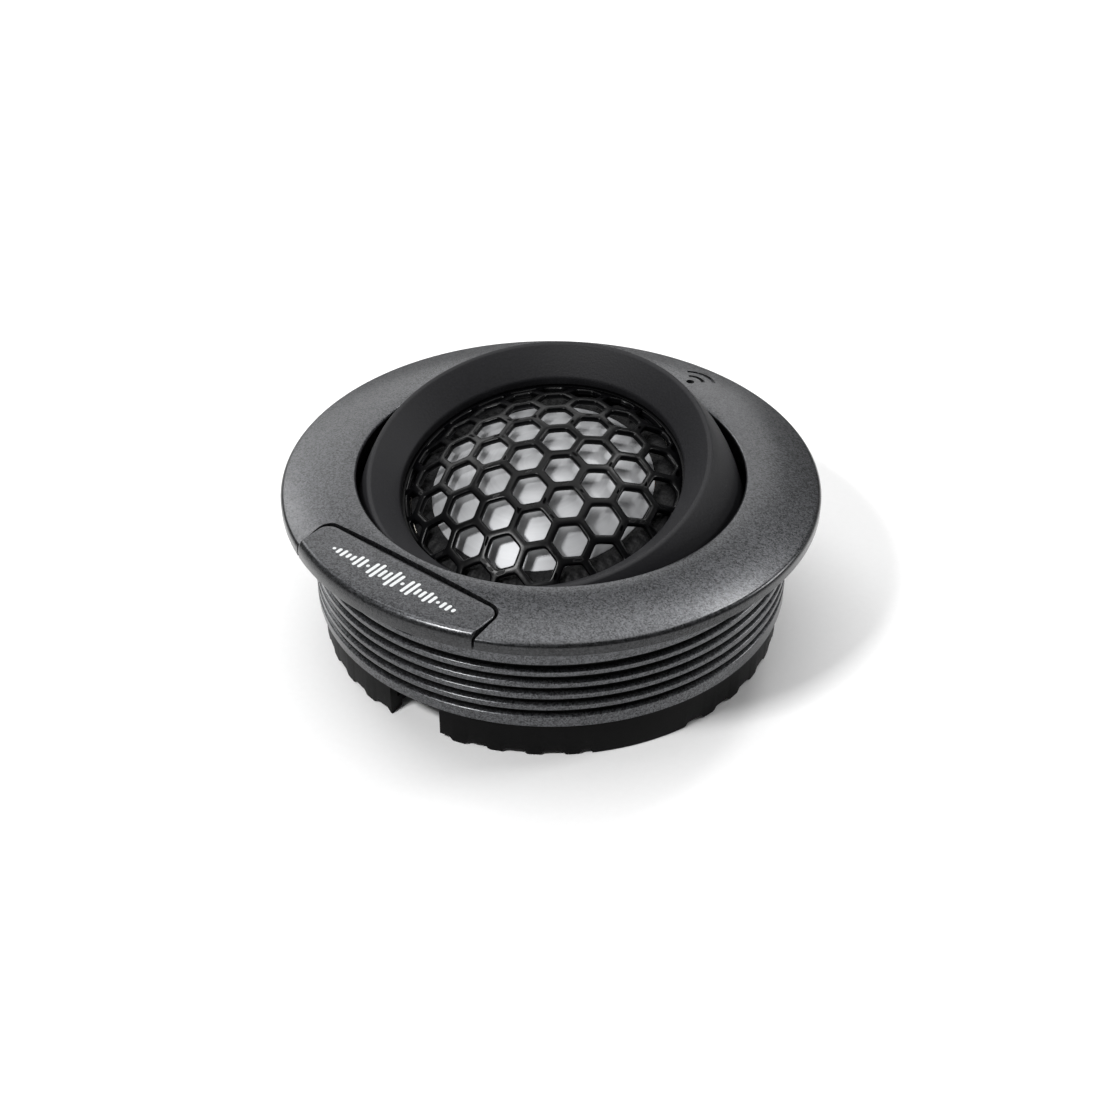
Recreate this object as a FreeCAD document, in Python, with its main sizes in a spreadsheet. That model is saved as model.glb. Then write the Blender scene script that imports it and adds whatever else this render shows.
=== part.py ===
import FreeCAD, Part
import math
import os

import Sketcher

# A flush-mount car tweeter: a flanged, threaded housing holds a swivel cup on a turntable.
# Millimetres, +Z out of the panel, Z = 0 at the bottom of the base ring, -Y towards the badge.
# Everything in the swivel cup is drawn about the tilt pivot and then tilted into place.

SIZES = {
    # housing
    "flange_r": 26.0,
    "flange_z": 15.3,
    "flange_under_z": 14.4,
    "opening_r": 19.0,
    "opening_z": 16.6,
    "crown_r": 34.0,
    "rim_round": 0.5,
    "edge_round": 0.2,
    "barrel_r": 23.3,
    "barrel_bottom_z": 3.8,
    "register_r": 23.6,
    "register_z": 12.75,
    "bore_r": 20.6,
    "ledge_z": 10.6,
    "seat_ball_r": 20.13,
    # thread
    "thread_pitch": 1.32,
    "thread_turns": 5.5,
    "thread_start_z": 4.8,
    "thread_depth": 0.62,
    "thread_mouth": 0.8,
    "thread_root": 0.35,
    # badge
    "badge_half_width": 10.5,
    "badge_inner_y": 19.8,
    "badge_top_z": 16.25,
    "badge_floor_z": 14.95,
    "badge_skirt_r": 24.4,
    "badge_gap": 0.22,
    "badge_corner": 1.3,
    "badge_bevel": 0.7,
    # engraved mark
    "mark_dist": 21.6,
    "mark_floor_z": 15.85,
    "mark_line": 0.42,
    # base ring
    "base_r": 22.75,
    "base_wall_r": 21.75,
    "base_inner_r": 18.2,
    "shelf_bottom_z": 0.6,
    "shelf_top_z": 1.45,
    "tooth_height": 0.5,
    "tooth_pitch": 9.0,
    "tooth_gap": 5.0,
    "lead_gap": 5.7,
    # turntable
    "carrier_r": 21.5,
    "carrier_inner_r": 17.5,
    "carrier_bottom_z": 1.5,
    "carrier_top_z": 3.5,
    "carrier_notch": 9.0,
    "washer_inner_r": 20.7,
    "washer_r": 21.4,
    "glide_gap": 0.05,
    "stop_top_z": 5.0,
    "stop_width": 2.0,
    # trunnions
    "pivot_z": 9.1,
    "tilt": 14.0,
    "ear_half_width": 3.0,
    "ear_inner_x": 17.4,
    "ear_outer_r": 19.5,
    "pin_r": 0.9,
    "pin_inner_x": 13.9,
    "pin_head_r": 1.6,
    "pin_head_x": 18.85,
    "pin_head_height": 0.6,
    "bush_bore_r": 0.95,
    "bush_r": 1.5,
    "bush_outer_x": 18.8,
    "boss_r": 2.0,
    "boss_outer_x": 17.1,
    "boss_inner_x": 13.6,
    # swivel cup
    "ball_r": 19.3,
    "ball_inner_r": 18.2,
    "skirt_h": 1.2,
    "rim_top_h": 9.95,
    "rim_inner_r": 16.0,
    "funnel_r": 13.7,
    "funnel_h": 7.6,
    "seat_h": 6.6,
    "tube_r": 16.6,
    "cup_bore_r": 15.3,
    "split_h": 2.8,
    "cavity_top_h": 5.9,
    "notch_half_width": 4.8,
    "notch_top_h": 4.2,
    "cup_wall_h": -2.6,
    "cup_heel_r": 15.8,
    "cup_heel_h": -3.3,
    "cup_knee_r": 13.2,
    "cup_knee_h": -4.2,
    "cup_floor_r": 8.5,
    "cup_floor_h": -5.6,
    "cup_floor": 1.1,
    # grille
    "grille_dome_r": 22.0,
    "grille_top_h": 11.2,
    "grille_thickness": 0.6,
    "cell_pitch": 3.82,
    "cell_web": 0.92,
    "cell_azimuth": 34.6,
    "cell_shift_x": 1.08,
    "cell_shift_y": 2.40,
    # drive unit
    "frame_outer_r": 15.2,
    "gasket_bottom_h": 6.05,
    "gasket_top_h": 6.25,
    "frame_ring_h": 5.6,
    "frame_inner_r": 13.0,
    "chassis_bottom_h": 2.9,
    "yoke_r": 13.2,
    "yoke_inner_r": 11.05,
    "yoke_bottom_h": -0.6,
    "magnet_bottom_h": 1.2,
    "plate_bottom_h": 3.7,
    "plate_top_h": 5.2,
    "magnet_r": 9.6,
    "plate_r": 10.15,
    "vent_r": 2.5,
    "felt_r": 7.5,
    "felt_top_h": 6.2,
    "coil_r": 10.4,
    "former_wall": 0.12,
    "winding_wall": 0.28,
    "former_bottom_h": 3.4,
    "winding_bottom_h": 3.55,
    "winding_top_h": 5.35,
    "dome_edge_r": 10.8,
    "dome_edge_h": 6.35,
    "dome_height": 3.4,
    "dome_wall": 0.2,
    "roll_rise": 0.25,
    "pad_r": 11.0,
    "pad_top_h": -0.8,
    "pad_bottom_h": -2.4,
    # fixings and wiring
    "screw_dist": 14.25,
    "screw_r": 0.6,
    "screw_head_r": 0.9,
    "screw_head_height": 0.7,
    "screw_top_h": 5.0,
    "column_r": 1.0,
    "grommet_bore_r": 0.9,
    "grommet_neck_r": 1.6,
    "grommet_lip_r": 2.3,
    "grommet_lip": 0.6,
    "board_length": 8.0,
    "board_width": 4.4,
    "board_thickness": 0.8,
    "board_y": 4.4,
    "tag_x": 2.4,
    "tag_width": 1.5,
    "tag_length": 3.2,
    "tag_thickness": 0.3,
    "lead_r": 0.2,
}

TOOTH_ARCS = ((-22.5, 127.5), (157.5, 307.5))
SCREW_AZIMUTHS = (90.0, 210.0, 330.0)
LEAD_AZIMUTH = -93.0
BADGE_TURN = -8.0
THREAD_AZIMUTH = 90.0
MARK_AZIMUTH = 79.0
STOP_TAB_AZIMUTH = -120.0
STOP_RIB_AZIMUTH = 60.0
ALONG_X = FreeCAD.Rotation(FreeCAD.Vector(0, 1, 0), 90)
UP = FreeCAD.Vector(0, 0, 1)

doc = FreeCAD.newDocument("CarTweeter")
nodes = []


class Size:
    """A number together with the sheet expression that gives it."""

    def __init__(self, value, text):
        self.value = float(value)
        self.text = text

    def __add__(self, other):
        other = as_size(other)
        return Size(self.value + other.value, f"({self.text} + {other.text})")

    def __sub__(self, other):
        other = as_size(other)
        return Size(self.value - other.value, f"({self.text} - {other.text})")

    def __mul__(self, other):
        other = as_size(other)
        return Size(self.value * other.value, f"({self.text} * {other.text})")

    def __truediv__(self, other):
        other = as_size(other)
        return Size(self.value / other.value, f"({self.text} / {other.text})")

    def __neg__(self):
        return Size(-self.value, f"(-{self.text})")


def as_size(number):
    """Lets a bare number stand beside sheet values."""
    if isinstance(number, Size):
        return number
    return Size(number, f"({float(number)})")


def ball(radius, height):
    """The radius of a ball about the pivot, at a height above the pivot."""
    radius, height = as_size(radius), as_size(height)
    value = math.sqrt(radius.value ** 2 - height.value ** 2)
    return Size(value, f"sqrt({radius.text} ^ 2 - {height.text} ^ 2)")


class Table:
    """Reads the sheet's aliases as attributes, each one a Size."""

    def __getattr__(self, name):
        return Size(SIZES[name], f"Sizes.{name}")


def fill_sheet():
    """Puts every driving dimension in the spreadsheet under its own alias."""
    sheet = doc.addObject("Spreadsheet::Sheet", "Sizes")
    for row, (alias, value) in enumerate(SIZES.items(), start=1):
        sheet.set(f"A{row}", alias)
        sheet.set(f"B{row}", str(value))
        sheet.setAlias(f"B{row}", alias)
    doc.recompute()


d = Table()


# ---------------------------------------------------------------- drawing helpers

def bind(target, name, size):
    """Sets one property from the sheet."""
    setattr(target, name, as_size(size).value)
    target.setExpression(name, as_size(size).text)


def plane_of(body, role):
    """One of the body's own origin planes."""
    return [item for item in body.Origin.OriginFeatures if item.Role == role][0]


def arc_between(start, end, radius):
    """A minor arc from start to end; it turns left for a positive radius, right for a negative one."""
    chord = end - start
    middle = (start + end) * 0.5
    left = FreeCAD.Vector(-chord.y, chord.x, 0).normalize()
    reach = math.sqrt(max(radius ** 2 - (chord.Length / 2) ** 2, 0.0))
    centre = middle + left * math.copysign(reach, radius)
    circle = Part.Circle(centre, UP, abs(radius))
    first, last = (start, end) if radius > 0 else (end, start)
    return Part.ArcOfCircle(circle, circle.parameter(first), circle.parameter(last))


def dimension(sketch, kind, edge, vertex, size):
    """Ties one coordinate of a vertex to the sheet."""
    if size.value == 0:
        axis = -2 if kind == "DistanceX" else -1
        sketch.addConstraint(Sketcher.Constraint("PointOnObject", edge, vertex, axis))
        return
    row = sketch.addConstraint(Sketcher.Constraint(kind, -1, 1, edge, vertex, size.value))
    sketch.setExpression(f"Constraints[{row}]", size.text)


def outline(body, role, corners):
    """A closed outline on an origin plane. A corner's third value bends the edge that leaves it."""
    sketch = body.newObject("Sketcher::SketchObject", body.Name + "_outline")
    sketch.AttachmentSupport = (plane_of(body, role), [""])
    sketch.MapMode = "FlatFace"
    corners = [tuple(as_size(item) for item in corner) for corner in corners]
    points = [FreeCAD.Vector(corner[0].value, corner[1].value, 0) for corner in corners]
    ends = []
    for row, corner in enumerate(corners):
        start, end = points[row], points[(row + 1) % len(points)]
        if len(corner) == 3:
            sketch.addGeometry(arc_between(start, end, corner[2].value), False)
            ends.append((1, 2) if corner[2].value > 0 else (2, 1))
        else:
            sketch.addGeometry(Part.LineSegment(start, end), False)
            ends.append((1, 2))
    for row, corner in enumerate(corners):
        following = (row + 1) % len(corners)
        meeting = (row, ends[row][1], following, ends[following][0])
        sketch.addConstraint(Sketcher.Constraint("Coincident", *meeting))
        dimension(sketch, "DistanceX", row, ends[row][0], corner[0])
        dimension(sketch, "DistanceY", row, ends[row][0], corner[1])
        if len(corner) == 3:
            bend = corner[2] if corner[2].value > 0 else -corner[2]
            place = sketch.addConstraint(Sketcher.Constraint("Radius", row, bend.value))
            sketch.setExpression(f"Constraints[{place}]", bend.text)
    return sketch


def new_body(name):
    """An empty PartDesign body."""
    return doc.addObject("PartDesign::Body", name)


def turned(name, corners):
    """A body of revolution about Z; corners are (radius, height)."""
    body = new_body(name)
    sketch = outline(body, "XZ_Plane", corners)
    feature = body.newObject("PartDesign::Revolution", name + "_turned")
    feature.Profile = sketch
    feature.ReferenceAxis = (sketch, ["V_Axis"])
    feature.Angle = 360.0
    doc.recompute()
    return body


def tube(name, inner, outer, low, high):
    """A plain ring or, with no inner radius, a plain disc."""
    return turned(name, [(inner, low), (outer, low), (outer, high), (inner, high)])


def block(name, low, high):
    """A box between two corners."""
    low = [as_size(item) for item in low]
    high = [as_size(item) for item in high]
    box = doc.addObject("Part::Box", name)
    for side, near, far, axis in zip(("Length", "Width", "Height"), low, high, "xyz"):
        bind(box, side, far - near)
        setattr(box.Placement.Base, axis, near.value)
    box.Placement = FreeCAD.Placement(FreeCAD.Vector(*[item.value for item in low]), FreeCAD.Rotation())
    for near, axis in zip(low, "xyz"):
        box.setExpression(f"Placement.Base.{axis}", near.text)
    return box


def rod(name, radius, length, base, rotation=None):
    """A cylinder from a base point, upright unless it is given a rotation."""
    cylinder = doc.addObject("Part::Cylinder", name)
    bind(cylinder, "Radius", radius)
    bind(cylinder, "Height", length)
    base = [as_size(item) for item in base]
    place = FreeCAD.Vector(*[item.value for item in base])
    cylinder.Placement = FreeCAD.Placement(place, rotation or FreeCAD.Rotation())
    for item, axis in zip(base, "xyz"):
        cylinder.setExpression(f"Placement.Base.{axis}", item.text)
    return cylinder


def group(name, items):
    """Several loose solids handled as one object."""
    compound = doc.addObject("Part::Compound", name)
    compound.Links = items
    return compound


def turn_about_z(item, degrees):
    """Holds an object in a compound that is swung round the Z axis."""
    swung = group(item.Name + "_swung", [item])
    swung.Placement = FreeCAD.Placement(FreeCAD.Vector(), FreeCAD.Rotation(UP, degrees))
    return swung


def fused(name, items):
    """One solid from overlapping solids."""
    union = doc.addObject("Part::MultiFuse", name)
    union.Shapes = items
    return union


def minus(name, base, tools):
    """The base with every tool cut out of it."""
    cut = doc.addObject("Part::Cut", name)
    cut.Base = base
    cut.Tool = tools[0] if len(tools) == 1 else group(name + "_tools", tools)
    return cut


def shared(name, base, tool):
    """What two solids have in common."""
    common = doc.addObject("Part::Common", name)
    common.Base = base
    common.Tool = tool
    return common


def both_sides(name, make):
    """The same piece made at +X and, turned half round, at -X."""
    return [turn_about_z(make(f"{name}_{side}"), degrees) for side, degrees in (("right", 0), ("left", 180))]


def node(item, label, in_cup=False):
    """Names a finished sub-part; a piece of the swivel cup is tilted into its place."""
    item.Label = label
    if in_cup:
        item.Placement = FreeCAD.Placement(
            FreeCAD.Vector(0, 0, d.pivot_z.value),
            FreeCAD.Rotation(FreeCAD.Vector(1, 0, 0), d.tilt.value),
        )
        item.setExpression("Placement.Base.z", d.pivot_z.text)
        item.setExpression("Placement.Rotation.Angle", d.tilt.text)
    nodes.append(item)
    return item


# ---------------------------------------------------------------- housing

def badge_blank(name, gap, overrun):
    """The badge's plan as a solid, turned to its place: straight inner edge and ends, out past the rim."""
    half = d.badge_half_width + gap
    inner = d.badge_inner_y - gap
    round_r = d.badge_corner
    slab = new_body(name + "_slab")
    sketch = outline(slab, "XY_Plane", [
        (-half, -d.flange_r - 2),
        (half, -d.flange_r - 2),
        (half, -inner - round_r, round_r),
        (half - round_r, -inner),
        (round_r - half, -inner, round_r),
        (-half, -inner - round_r),
    ])
    pad = slab.newObject("PartDesign::Pad", name + "_pad")
    pad.Profile = sketch
    bind(pad, "Length", d.opening_z + 1)
    step = turned(name + "_step", [
        (0, d.badge_floor_z),
        (d.badge_skirt_r - gap, d.badge_floor_z),
        (d.badge_skirt_r - gap, d.flange_under_z - overrun),
        (d.flange_r + overrun, d.flange_under_z - overrun),
        (d.flange_r + overrun, d.opening_z + 1),
        (0, d.opening_z + 1),
    ])
    return turn_about_z(shared(name, slab, step), BADGE_TURN)


def engraved_mark():
    """A generic mark for the flange: a dot with two sound-wave arcs, as cutting tools."""
    tools = [rod("mark_dot", d.mark_line, 2, (d.mark_dist, 0, d.mark_floor_z))]
    for row, radius in enumerate((1.35, 2.45)):
        ring = turned(f"mark_ring_{row}", [
            (as_size(radius) - d.mark_line / 2, 0),
            (as_size(radius) + d.mark_line / 2, 0),
            (as_size(radius) + d.mark_line / 2, 2),
            (as_size(radius) - d.mark_line / 2, 2),
        ])
        wedge = turn_about_z(block(f"mark_wedge_{row}", (0, 0, -1), (3, 3, 3)), -45)
        arc = shared(f"mark_arc_{row}", ring, wedge)
        place = FreeCAD.Vector(d.mark_dist.value, 0, d.mark_floor_z.value)
        arc.Placement = FreeCAD.Placement(place, FreeCAD.Rotation())
        tools.append(arc)
    mark = group("mark_tools", tools)
    return turn_about_z(mark, MARK_AZIMUTH)


def thread_cutter():
    """The right-hand thread's groove as a solid to cut away."""
    body = new_body("thread_cutter")
    sketch = outline(body, "XZ_Plane", [
        (d.barrel_r - d.thread_depth, d.thread_start_z - d.thread_root / 2),
        (d.barrel_r + 0.3, d.thread_start_z - d.thread_mouth / 2 - 0.12),
        (d.barrel_r + 0.3, d.thread_start_z + d.thread_mouth / 2 + 0.12),
        (d.barrel_r - d.thread_depth, d.thread_start_z + d.thread_root / 2),
    ])
    thread = body.newObject("PartDesign::AdditiveHelix", "thread_groove")
    thread.Profile = sketch
    thread.ReferenceAxis = (sketch, ["V_Axis"])
    thread.Mode = 1
    bind(thread, "Pitch", d.thread_pitch)
    bind(thread, "Turns", d.thread_turns)
    body.Tip = thread
    return turn_about_z(body, THREAD_AZIMUTH)


def housing():
    """Flange, spherical throat and externally threaded barrel in one piece, with a stop rib in the bore."""
    body = turned("housing_body", [
        (d.bore_r, d.barrel_bottom_z),
        (d.barrel_r - 0.25, d.barrel_bottom_z),
        (d.barrel_r, d.barrel_bottom_z + 0.25),
        (d.barrel_r, d.register_z - 0.05),
        (d.register_r, d.register_z),
        (d.register_r, d.flange_under_z - 0.5, -as_size(0.5)),
        (d.register_r + 0.5, d.flange_under_z),
        (d.flange_r - d.edge_round, d.flange_under_z),
        (d.flange_r, d.flange_under_z + d.edge_round),
        (d.flange_r, d.flange_z, d.rim_round),
        (d.flange_r - 0.42, d.flange_z + 0.46, d.crown_r),
        (d.opening_r, d.opening_z, 0.3),
        (ball(d.seat_ball_r, d.opening_z - d.pivot_z - 0.2), d.opening_z - 0.2, -d.seat_ball_r),
        (ball(d.seat_ball_r, d.ledge_z - d.pivot_z), d.ledge_z),
        (d.bore_r, d.ledge_z),
    ])
    rib = turn_about_z(block(
        "stop_rib",
        (d.bore_r - 0.5, -d.stop_width / 2, d.barrel_bottom_z),
        (d.bore_r + 0.5, d.stop_width / 2, d.stop_top_z),
    ), STOP_RIB_AZIMUTH)
    plain = fused("housing_plain", [body, rib])
    tools = [badge_blank("badge_pocket", d.badge_gap, as_size(0.5)), engraved_mark(), thread_cutter()]
    node(minus("housing_done", plain, tools), "housing")


def badge_plate():
    """The inlaid name-plate blank: flat top, rolled outer edge, skirt down the flange's rim."""
    form = turned("badge_form", [
        (0, d.flange_under_z - 1),
        (d.flange_r - 0.25, d.flange_under_z - 1),
        (d.flange_r - 0.25, d.flange_under_z),
        (d.flange_r, d.flange_under_z + 0.3),
        (d.flange_r, d.badge_top_z - d.badge_bevel - 0.3, d.badge_bevel * 1.3),
        (d.flange_r - d.badge_bevel, d.badge_top_z),
        (0, d.badge_top_z),
    ])
    node(shared("badge_done", badge_blank("badge_body", as_size(0), as_size(0)), form), "badge_plate")


def base_ring():
    """The black ring under the barrel: L-section, castellated foot, and a gap where the lead leaves."""
    ring = turned("base_body", [
        (d.base_inner_r, d.shelf_bottom_z),
        (d.base_wall_r - 0.6, d.shelf_bottom_z),
        (d.base_wall_r - 0.6, 0),
        (d.base_r - 0.2, 0),
        (d.base_r, 0.2),
        (d.base_r, d.barrel_bottom_z),
        (d.base_wall_r, d.barrel_bottom_z),
        (d.base_wall_r, d.shelf_top_z),
        (d.base_inner_r, d.shelf_top_z),
    ])
    step = d.tooth_pitch.value
    tools = []
    for first, last in TOOTH_ARCS:
        for count in range(int((last - first) / step) + 1):
            width = d.base_r * math.radians(d.tooth_gap.value)
            gap = block(
                f"tooth_gap_{len(tools)}",
                (d.base_wall_r - 1, -width / 2, -1),
                (d.base_r + 1, width / 2, d.tooth_height),
            )
            tools.append(turn_about_z(gap, first + step * count))
    lead = block(
        "lead_gap",
        (d.base_inner_r - 1, -d.lead_gap / 2, -1),
        (d.base_r + 1, d.lead_gap / 2, d.barrel_bottom_z + 1),
    )
    tools.append(turn_about_z(lead, LEAD_AZIMUTH))
    node(minus("base_done", ring, tools), "base_ring")


def carrier_washer():
    """The friction washer bonded under the barrel, which the turntable glides against."""
    low = d.carrier_top_z + d.glide_gap
    node(tube("washer", d.washer_inner_r, d.washer_r, low, d.barrel_bottom_z), "carrier_washer")


# ---------------------------------------------------------------- turntable

def ear_solid(name):
    """One upright ear with a round top, trimmed to the bore."""
    root = block(
        name + "_root",
        (d.ear_inner_x, -d.ear_half_width, d.carrier_top_z - 1),
        (d.ear_outer_r + 1, d.ear_half_width, d.pivot_z),
    )
    length = d.ear_outer_r + 1 - d.ear_inner_x
    top = rod(name + "_top", d.ear_half_width, length, (d.ear_inner_x, 0, d.pivot_z), ALONG_X)
    return fused(name, [root, top])


def pivot_carrier():
    """The turntable: a flat ring with two ears for the trunnions, a stop tab and a notch for the lead."""
    ring = tube("carrier_flat", d.carrier_inner_r, d.carrier_r, d.carrier_bottom_z, d.carrier_top_z)
    trim = rod("ear_trim", d.ear_outer_r, d.opening_z, (0, 0, 0))
    ears = shared("ears_trimmed", group("ears", both_sides("ear", ear_solid)), trim)
    tab = turn_about_z(block(
        "stop_tab",
        (d.ear_outer_r + 0.1, -d.stop_width / 2, d.carrier_top_z - 1),
        (d.bore_r - 0.15, d.stop_width / 2, d.stop_top_z - 0.2),
    ), STOP_TAB_AZIMUTH)
    bores = both_sides(
        "ear_bore",
        lambda name: rod(name, d.bush_r, 4, (d.ear_inner_x - 1, 0, d.pivot_z), ALONG_X),
    )
    sinks = both_sides(
        "ear_sink",
        lambda name: rod(name, d.pin_head_r + 0.15, 4, (d.bush_outer_x, 0, d.pivot_z), ALONG_X),
    )
    lead = turn_about_z(block(
        "carrier_lead_notch",
        (d.carrier_inner_r - 2, -d.carrier_notch / 2, 0),
        (d.carrier_r + 1, d.carrier_notch / 2, d.carrier_top_z + 1),
    ), LEAD_AZIMUTH)
    whole = fused("carrier_whole", [ring, ears, tab])
    node(minus("carrier_done", whole, bores + sinks + [lead]), "pivot_carrier")


def pivot_bushes():
    """Two plain bushes pressed into the ears."""
    def bush(name):
        length = d.bush_outer_x - d.ear_inner_x
        outer = rod(name + "_outer", d.bush_r, length, (d.ear_inner_x, 0, d.pivot_z), ALONG_X)
        bore = rod(name + "_bore", d.bush_bore_r, 6, (d.ear_inner_x - 1, 0, d.pivot_z), ALONG_X)
        return minus(name, outer, [bore])
    node(group("bushes", both_sides("bush", bush)), "pivot_bushes")


# ---------------------------------------------------------------- swivel cup shells

def swivel_bezel():
    """The front shell: ball-shaped skirt, rounded rim, funnel to the grille and an inner tube."""
    shell = turned("bezel_body", [
        (d.cup_bore_r, d.split_h),
        (d.tube_r, d.split_h),
        (d.tube_r, d.cavity_top_h),
        (ball(d.ball_inner_r, d.cavity_top_h), d.cavity_top_h, -d.ball_inner_r),
        (ball(d.ball_inner_r, d.skirt_h), d.skirt_h),
        (ball(d.ball_r, d.skirt_h), d.skirt_h, d.ball_r),
        (ball(d.ball_r, d.rim_top_h), d.rim_top_h, 0.38),
        (d.rim_inner_r, d.rim_top_h),
        (d.funnel_r, d.funnel_h),
        (d.funnel_r, d.seat_h),
        (d.cup_bore_r, d.seat_h),
    ])
    notches = both_sides("skirt_notch", lambda name: block(
        name,
        (d.tube_r + 0.2, -d.notch_half_width, 0),
        (d.ball_r + 1, d.notch_half_width, d.notch_top_h),
    ))
    node(minus("bezel_done", shell, notches), "swivel_bezel", in_cup=True)


def rear_cup():
    """The rear shell: motor chamber with pivot bosses, screw columns and a hole for the grommet."""
    inside = d.cup_floor
    shell = turned("rear_body", [
        (0, d.cup_floor_h),
        (d.cup_floor_r, d.cup_floor_h),
        (d.cup_knee_r, d.cup_knee_h),
        (d.cup_heel_r, d.cup_heel_h),
        (d.tube_r, d.cup_wall_h),
        (d.tube_r, d.split_h),
        (d.cup_bore_r, d.split_h),
        (d.cup_bore_r, d.cup_heel_h + inside),
        (d.cup_knee_r - 0.4, d.cup_knee_h + inside),
        (d.cup_floor_r - 0.4, d.cup_floor_h + inside),
        (0, d.cup_floor_h + inside),
    ])
    length = d.boss_outer_x - d.boss_inner_x
    bosses = both_sides("boss", lambda name: rod(name, d.boss_r, length, (d.boss_inner_x, 0, 0), ALONG_X))
    pin_bores = both_sides("boss_bore", lambda name: rod(name, d.pin_r, 6, (d.pin_inner_x, 0, 0), ALONG_X))
    columns = []
    screw_bores = []
    for azimuth in SCREW_AZIMUTHS:
        low = d.cup_heel_h
        column = rod(f"column_{azimuth:.0f}", d.column_r, d.split_h - low, (d.screw_dist, 0, low))
        bore = rod(f"column_bore_{azimuth:.0f}", d.screw_r, 20, (d.screw_dist, 0, -10))
        sink = rod(f"column_sink_{azimuth:.0f}", d.screw_head_r + 0.1, 4, (d.screw_dist, 0, d.cup_heel_h - 4))
        columns.append(turn_about_z(column, azimuth))
        screw_bores.append(turn_about_z(group(f"column_cut_{azimuth:.0f}", [bore, sink]), azimuth))
    outlet = rod("grommet_hole", d.grommet_neck_r, 4, (0, 0, d.cup_floor_h - 1))
    whole = fused("rear_whole", [shell] + bosses + columns)
    node(minus("rear_done", whole, pin_bores + screw_bores + [outlet]), "rear_cup", in_cup=True)


def rear_screws():
    """Three pan-head screws that hold the chassis ring down in the rear cup."""
    screws = []
    for azimuth in SCREW_AZIMUTHS:
        name = f"screw_{azimuth:.0f}"
        shank = rod(name + "_shank", d.screw_r, d.screw_top_h - d.cup_heel_h, (d.screw_dist, 0, d.cup_heel_h))
        under = (d.screw_dist, 0, d.cup_heel_h - d.screw_head_height)
        head = rod(name + "_head", d.screw_head_r, d.screw_head_height, under)
        slot = block(
            name + "_slot",
            (d.screw_dist - 2, -as_size(0.15), d.cup_heel_h - d.screw_head_height - 1),
            (d.screw_dist + 2, 0.15, d.cup_heel_h - d.screw_head_height + 0.3),
        )
        screw = minus(name, fused(name + "_whole", [shank, head]), [slot])
        screws.append(turn_about_z(screw, azimuth))
    node(group("screws", screws), "rear_screws", in_cup=True)


def pivot_pins():
    """Two shoulder pins screwed into the bosses through the bushes."""
    def pin(name):
        shank = rod(name + "_shank", d.pin_r, d.pin_head_x - d.pin_inner_x, (d.pin_inner_x, 0, 0), ALONG_X)
        head = rod(name + "_head", d.pin_head_r, d.pin_head_height, (d.pin_head_x, 0, 0), ALONG_X)
        return fused(name, [shank, head])
    node(group("pins", both_sides("pin", pin)), "pivot_pins", in_cup=True)


def friction_washers():
    """Two washers on the pins, between boss and ear, that hold the tilt by friction."""
    def washer(name):
        length = d.ear_inner_x - d.glide_gap - d.boss_outer_x
        outer = rod(name + "_outer", d.boss_r + 0.3, length, (d.boss_outer_x, 0, 0), ALONG_X)
        bore = rod(name + "_bore", d.pin_r, 3, (d.boss_outer_x - 1, 0, 0), ALONG_X)
        return minus(name, outer, [bore])
    node(group("washers", both_sides("friction", washer)), "friction_washers", in_cup=True)


# ---------------------------------------------------------------- grille

def grille_edge():
    """The radius at which the grille's dome meets its flat rim."""
    return ball(d.grille_dome_r, d.seat_h - d.grille_top_h + d.grille_dome_r)


def grille_cells():
    """One prism for each hexagonal hole, square to the domed sheet and clipped inside its edge."""
    pitch = d.cell_pitch.value
    row_step = pitch * math.sqrt(3) / 2
    dome = d.grille_dome_r.value
    along = math.radians(d.cell_azimuth.value)
    edge = grille_edge()
    reach = int(2 * edge.value / pitch) + 1
    cells = []
    for column in range(-reach, reach + 1):
        for row in range(-reach, reach + 1):
            across = column * row_step
            up = (row + (column % 2) / 2) * pitch
            x = d.cell_shift_x.value + across * math.cos(along) - up * math.sin(along)
            y = d.cell_shift_y.value + across * math.sin(along) + up * math.cos(along)
            distance = math.hypot(x, y)
            if distance > edge.value + 0.35 * pitch:
                continue
            lean = math.degrees(distance / dome)
            azimuth = math.degrees(math.atan2(y, x))
            prism = doc.addObject("Part::Prism", f"cell_{len(cells)}")
            prism.Polygon = 6
            bind(prism, "Circumradius", (d.cell_pitch - d.cell_web) / math.sqrt(3))
            prism.Height = 6.0
            spin = FreeCAD.Rotation(UP, d.cell_azimuth.value - azimuth)
            swing = FreeCAD.Rotation(UP, azimuth).multiply(FreeCAD.Rotation(FreeCAD.Vector(0, 1, 0), lean))
            rotation = swing.multiply(spin)
            centre = FreeCAD.Vector(0, 0, d.grille_top_h.value - dome)
            prism.Placement = FreeCAD.Placement(centre + rotation.multVec(UP * (dome - 3.0)), rotation)
            cells.append(prism)
    clip = rod("cell_clip", edge - 0.1, 12, (0, 0, d.gasket_top_h - 1))
    return shared("cells_clipped", group("cells", cells), clip)


def grille():
    """The domed honeycomb guard with the flat rim that the bezel traps."""
    centre = d.grille_top_h - d.grille_dome_r
    inner = d.grille_dome_r - d.grille_thickness
    sheet = turned("grille_sheet", [
        (ball(inner, d.gasket_top_h - centre), d.gasket_top_h),
        (d.frame_outer_r, d.gasket_top_h),
        (d.frame_outer_r, d.seat_h),
        (grille_edge(), d.seat_h, d.grille_dome_r),
        (0, d.grille_top_h),
        (0, d.grille_top_h - d.grille_thickness, -inner),
    ])
    node(minus("grille_done", sheet, [grille_cells()]), "grille", in_cup=True)


def grille_gasket():
    """The foam ring between the grille and the diaphragm ring."""
    ring = tube("gasket", d.frame_inner_r + 0.3, d.frame_outer_r, d.gasket_bottom_h, d.gasket_top_h)
    node(ring, "grille_gasket", in_cup=True)


# ---------------------------------------------------------------- drive unit

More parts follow.
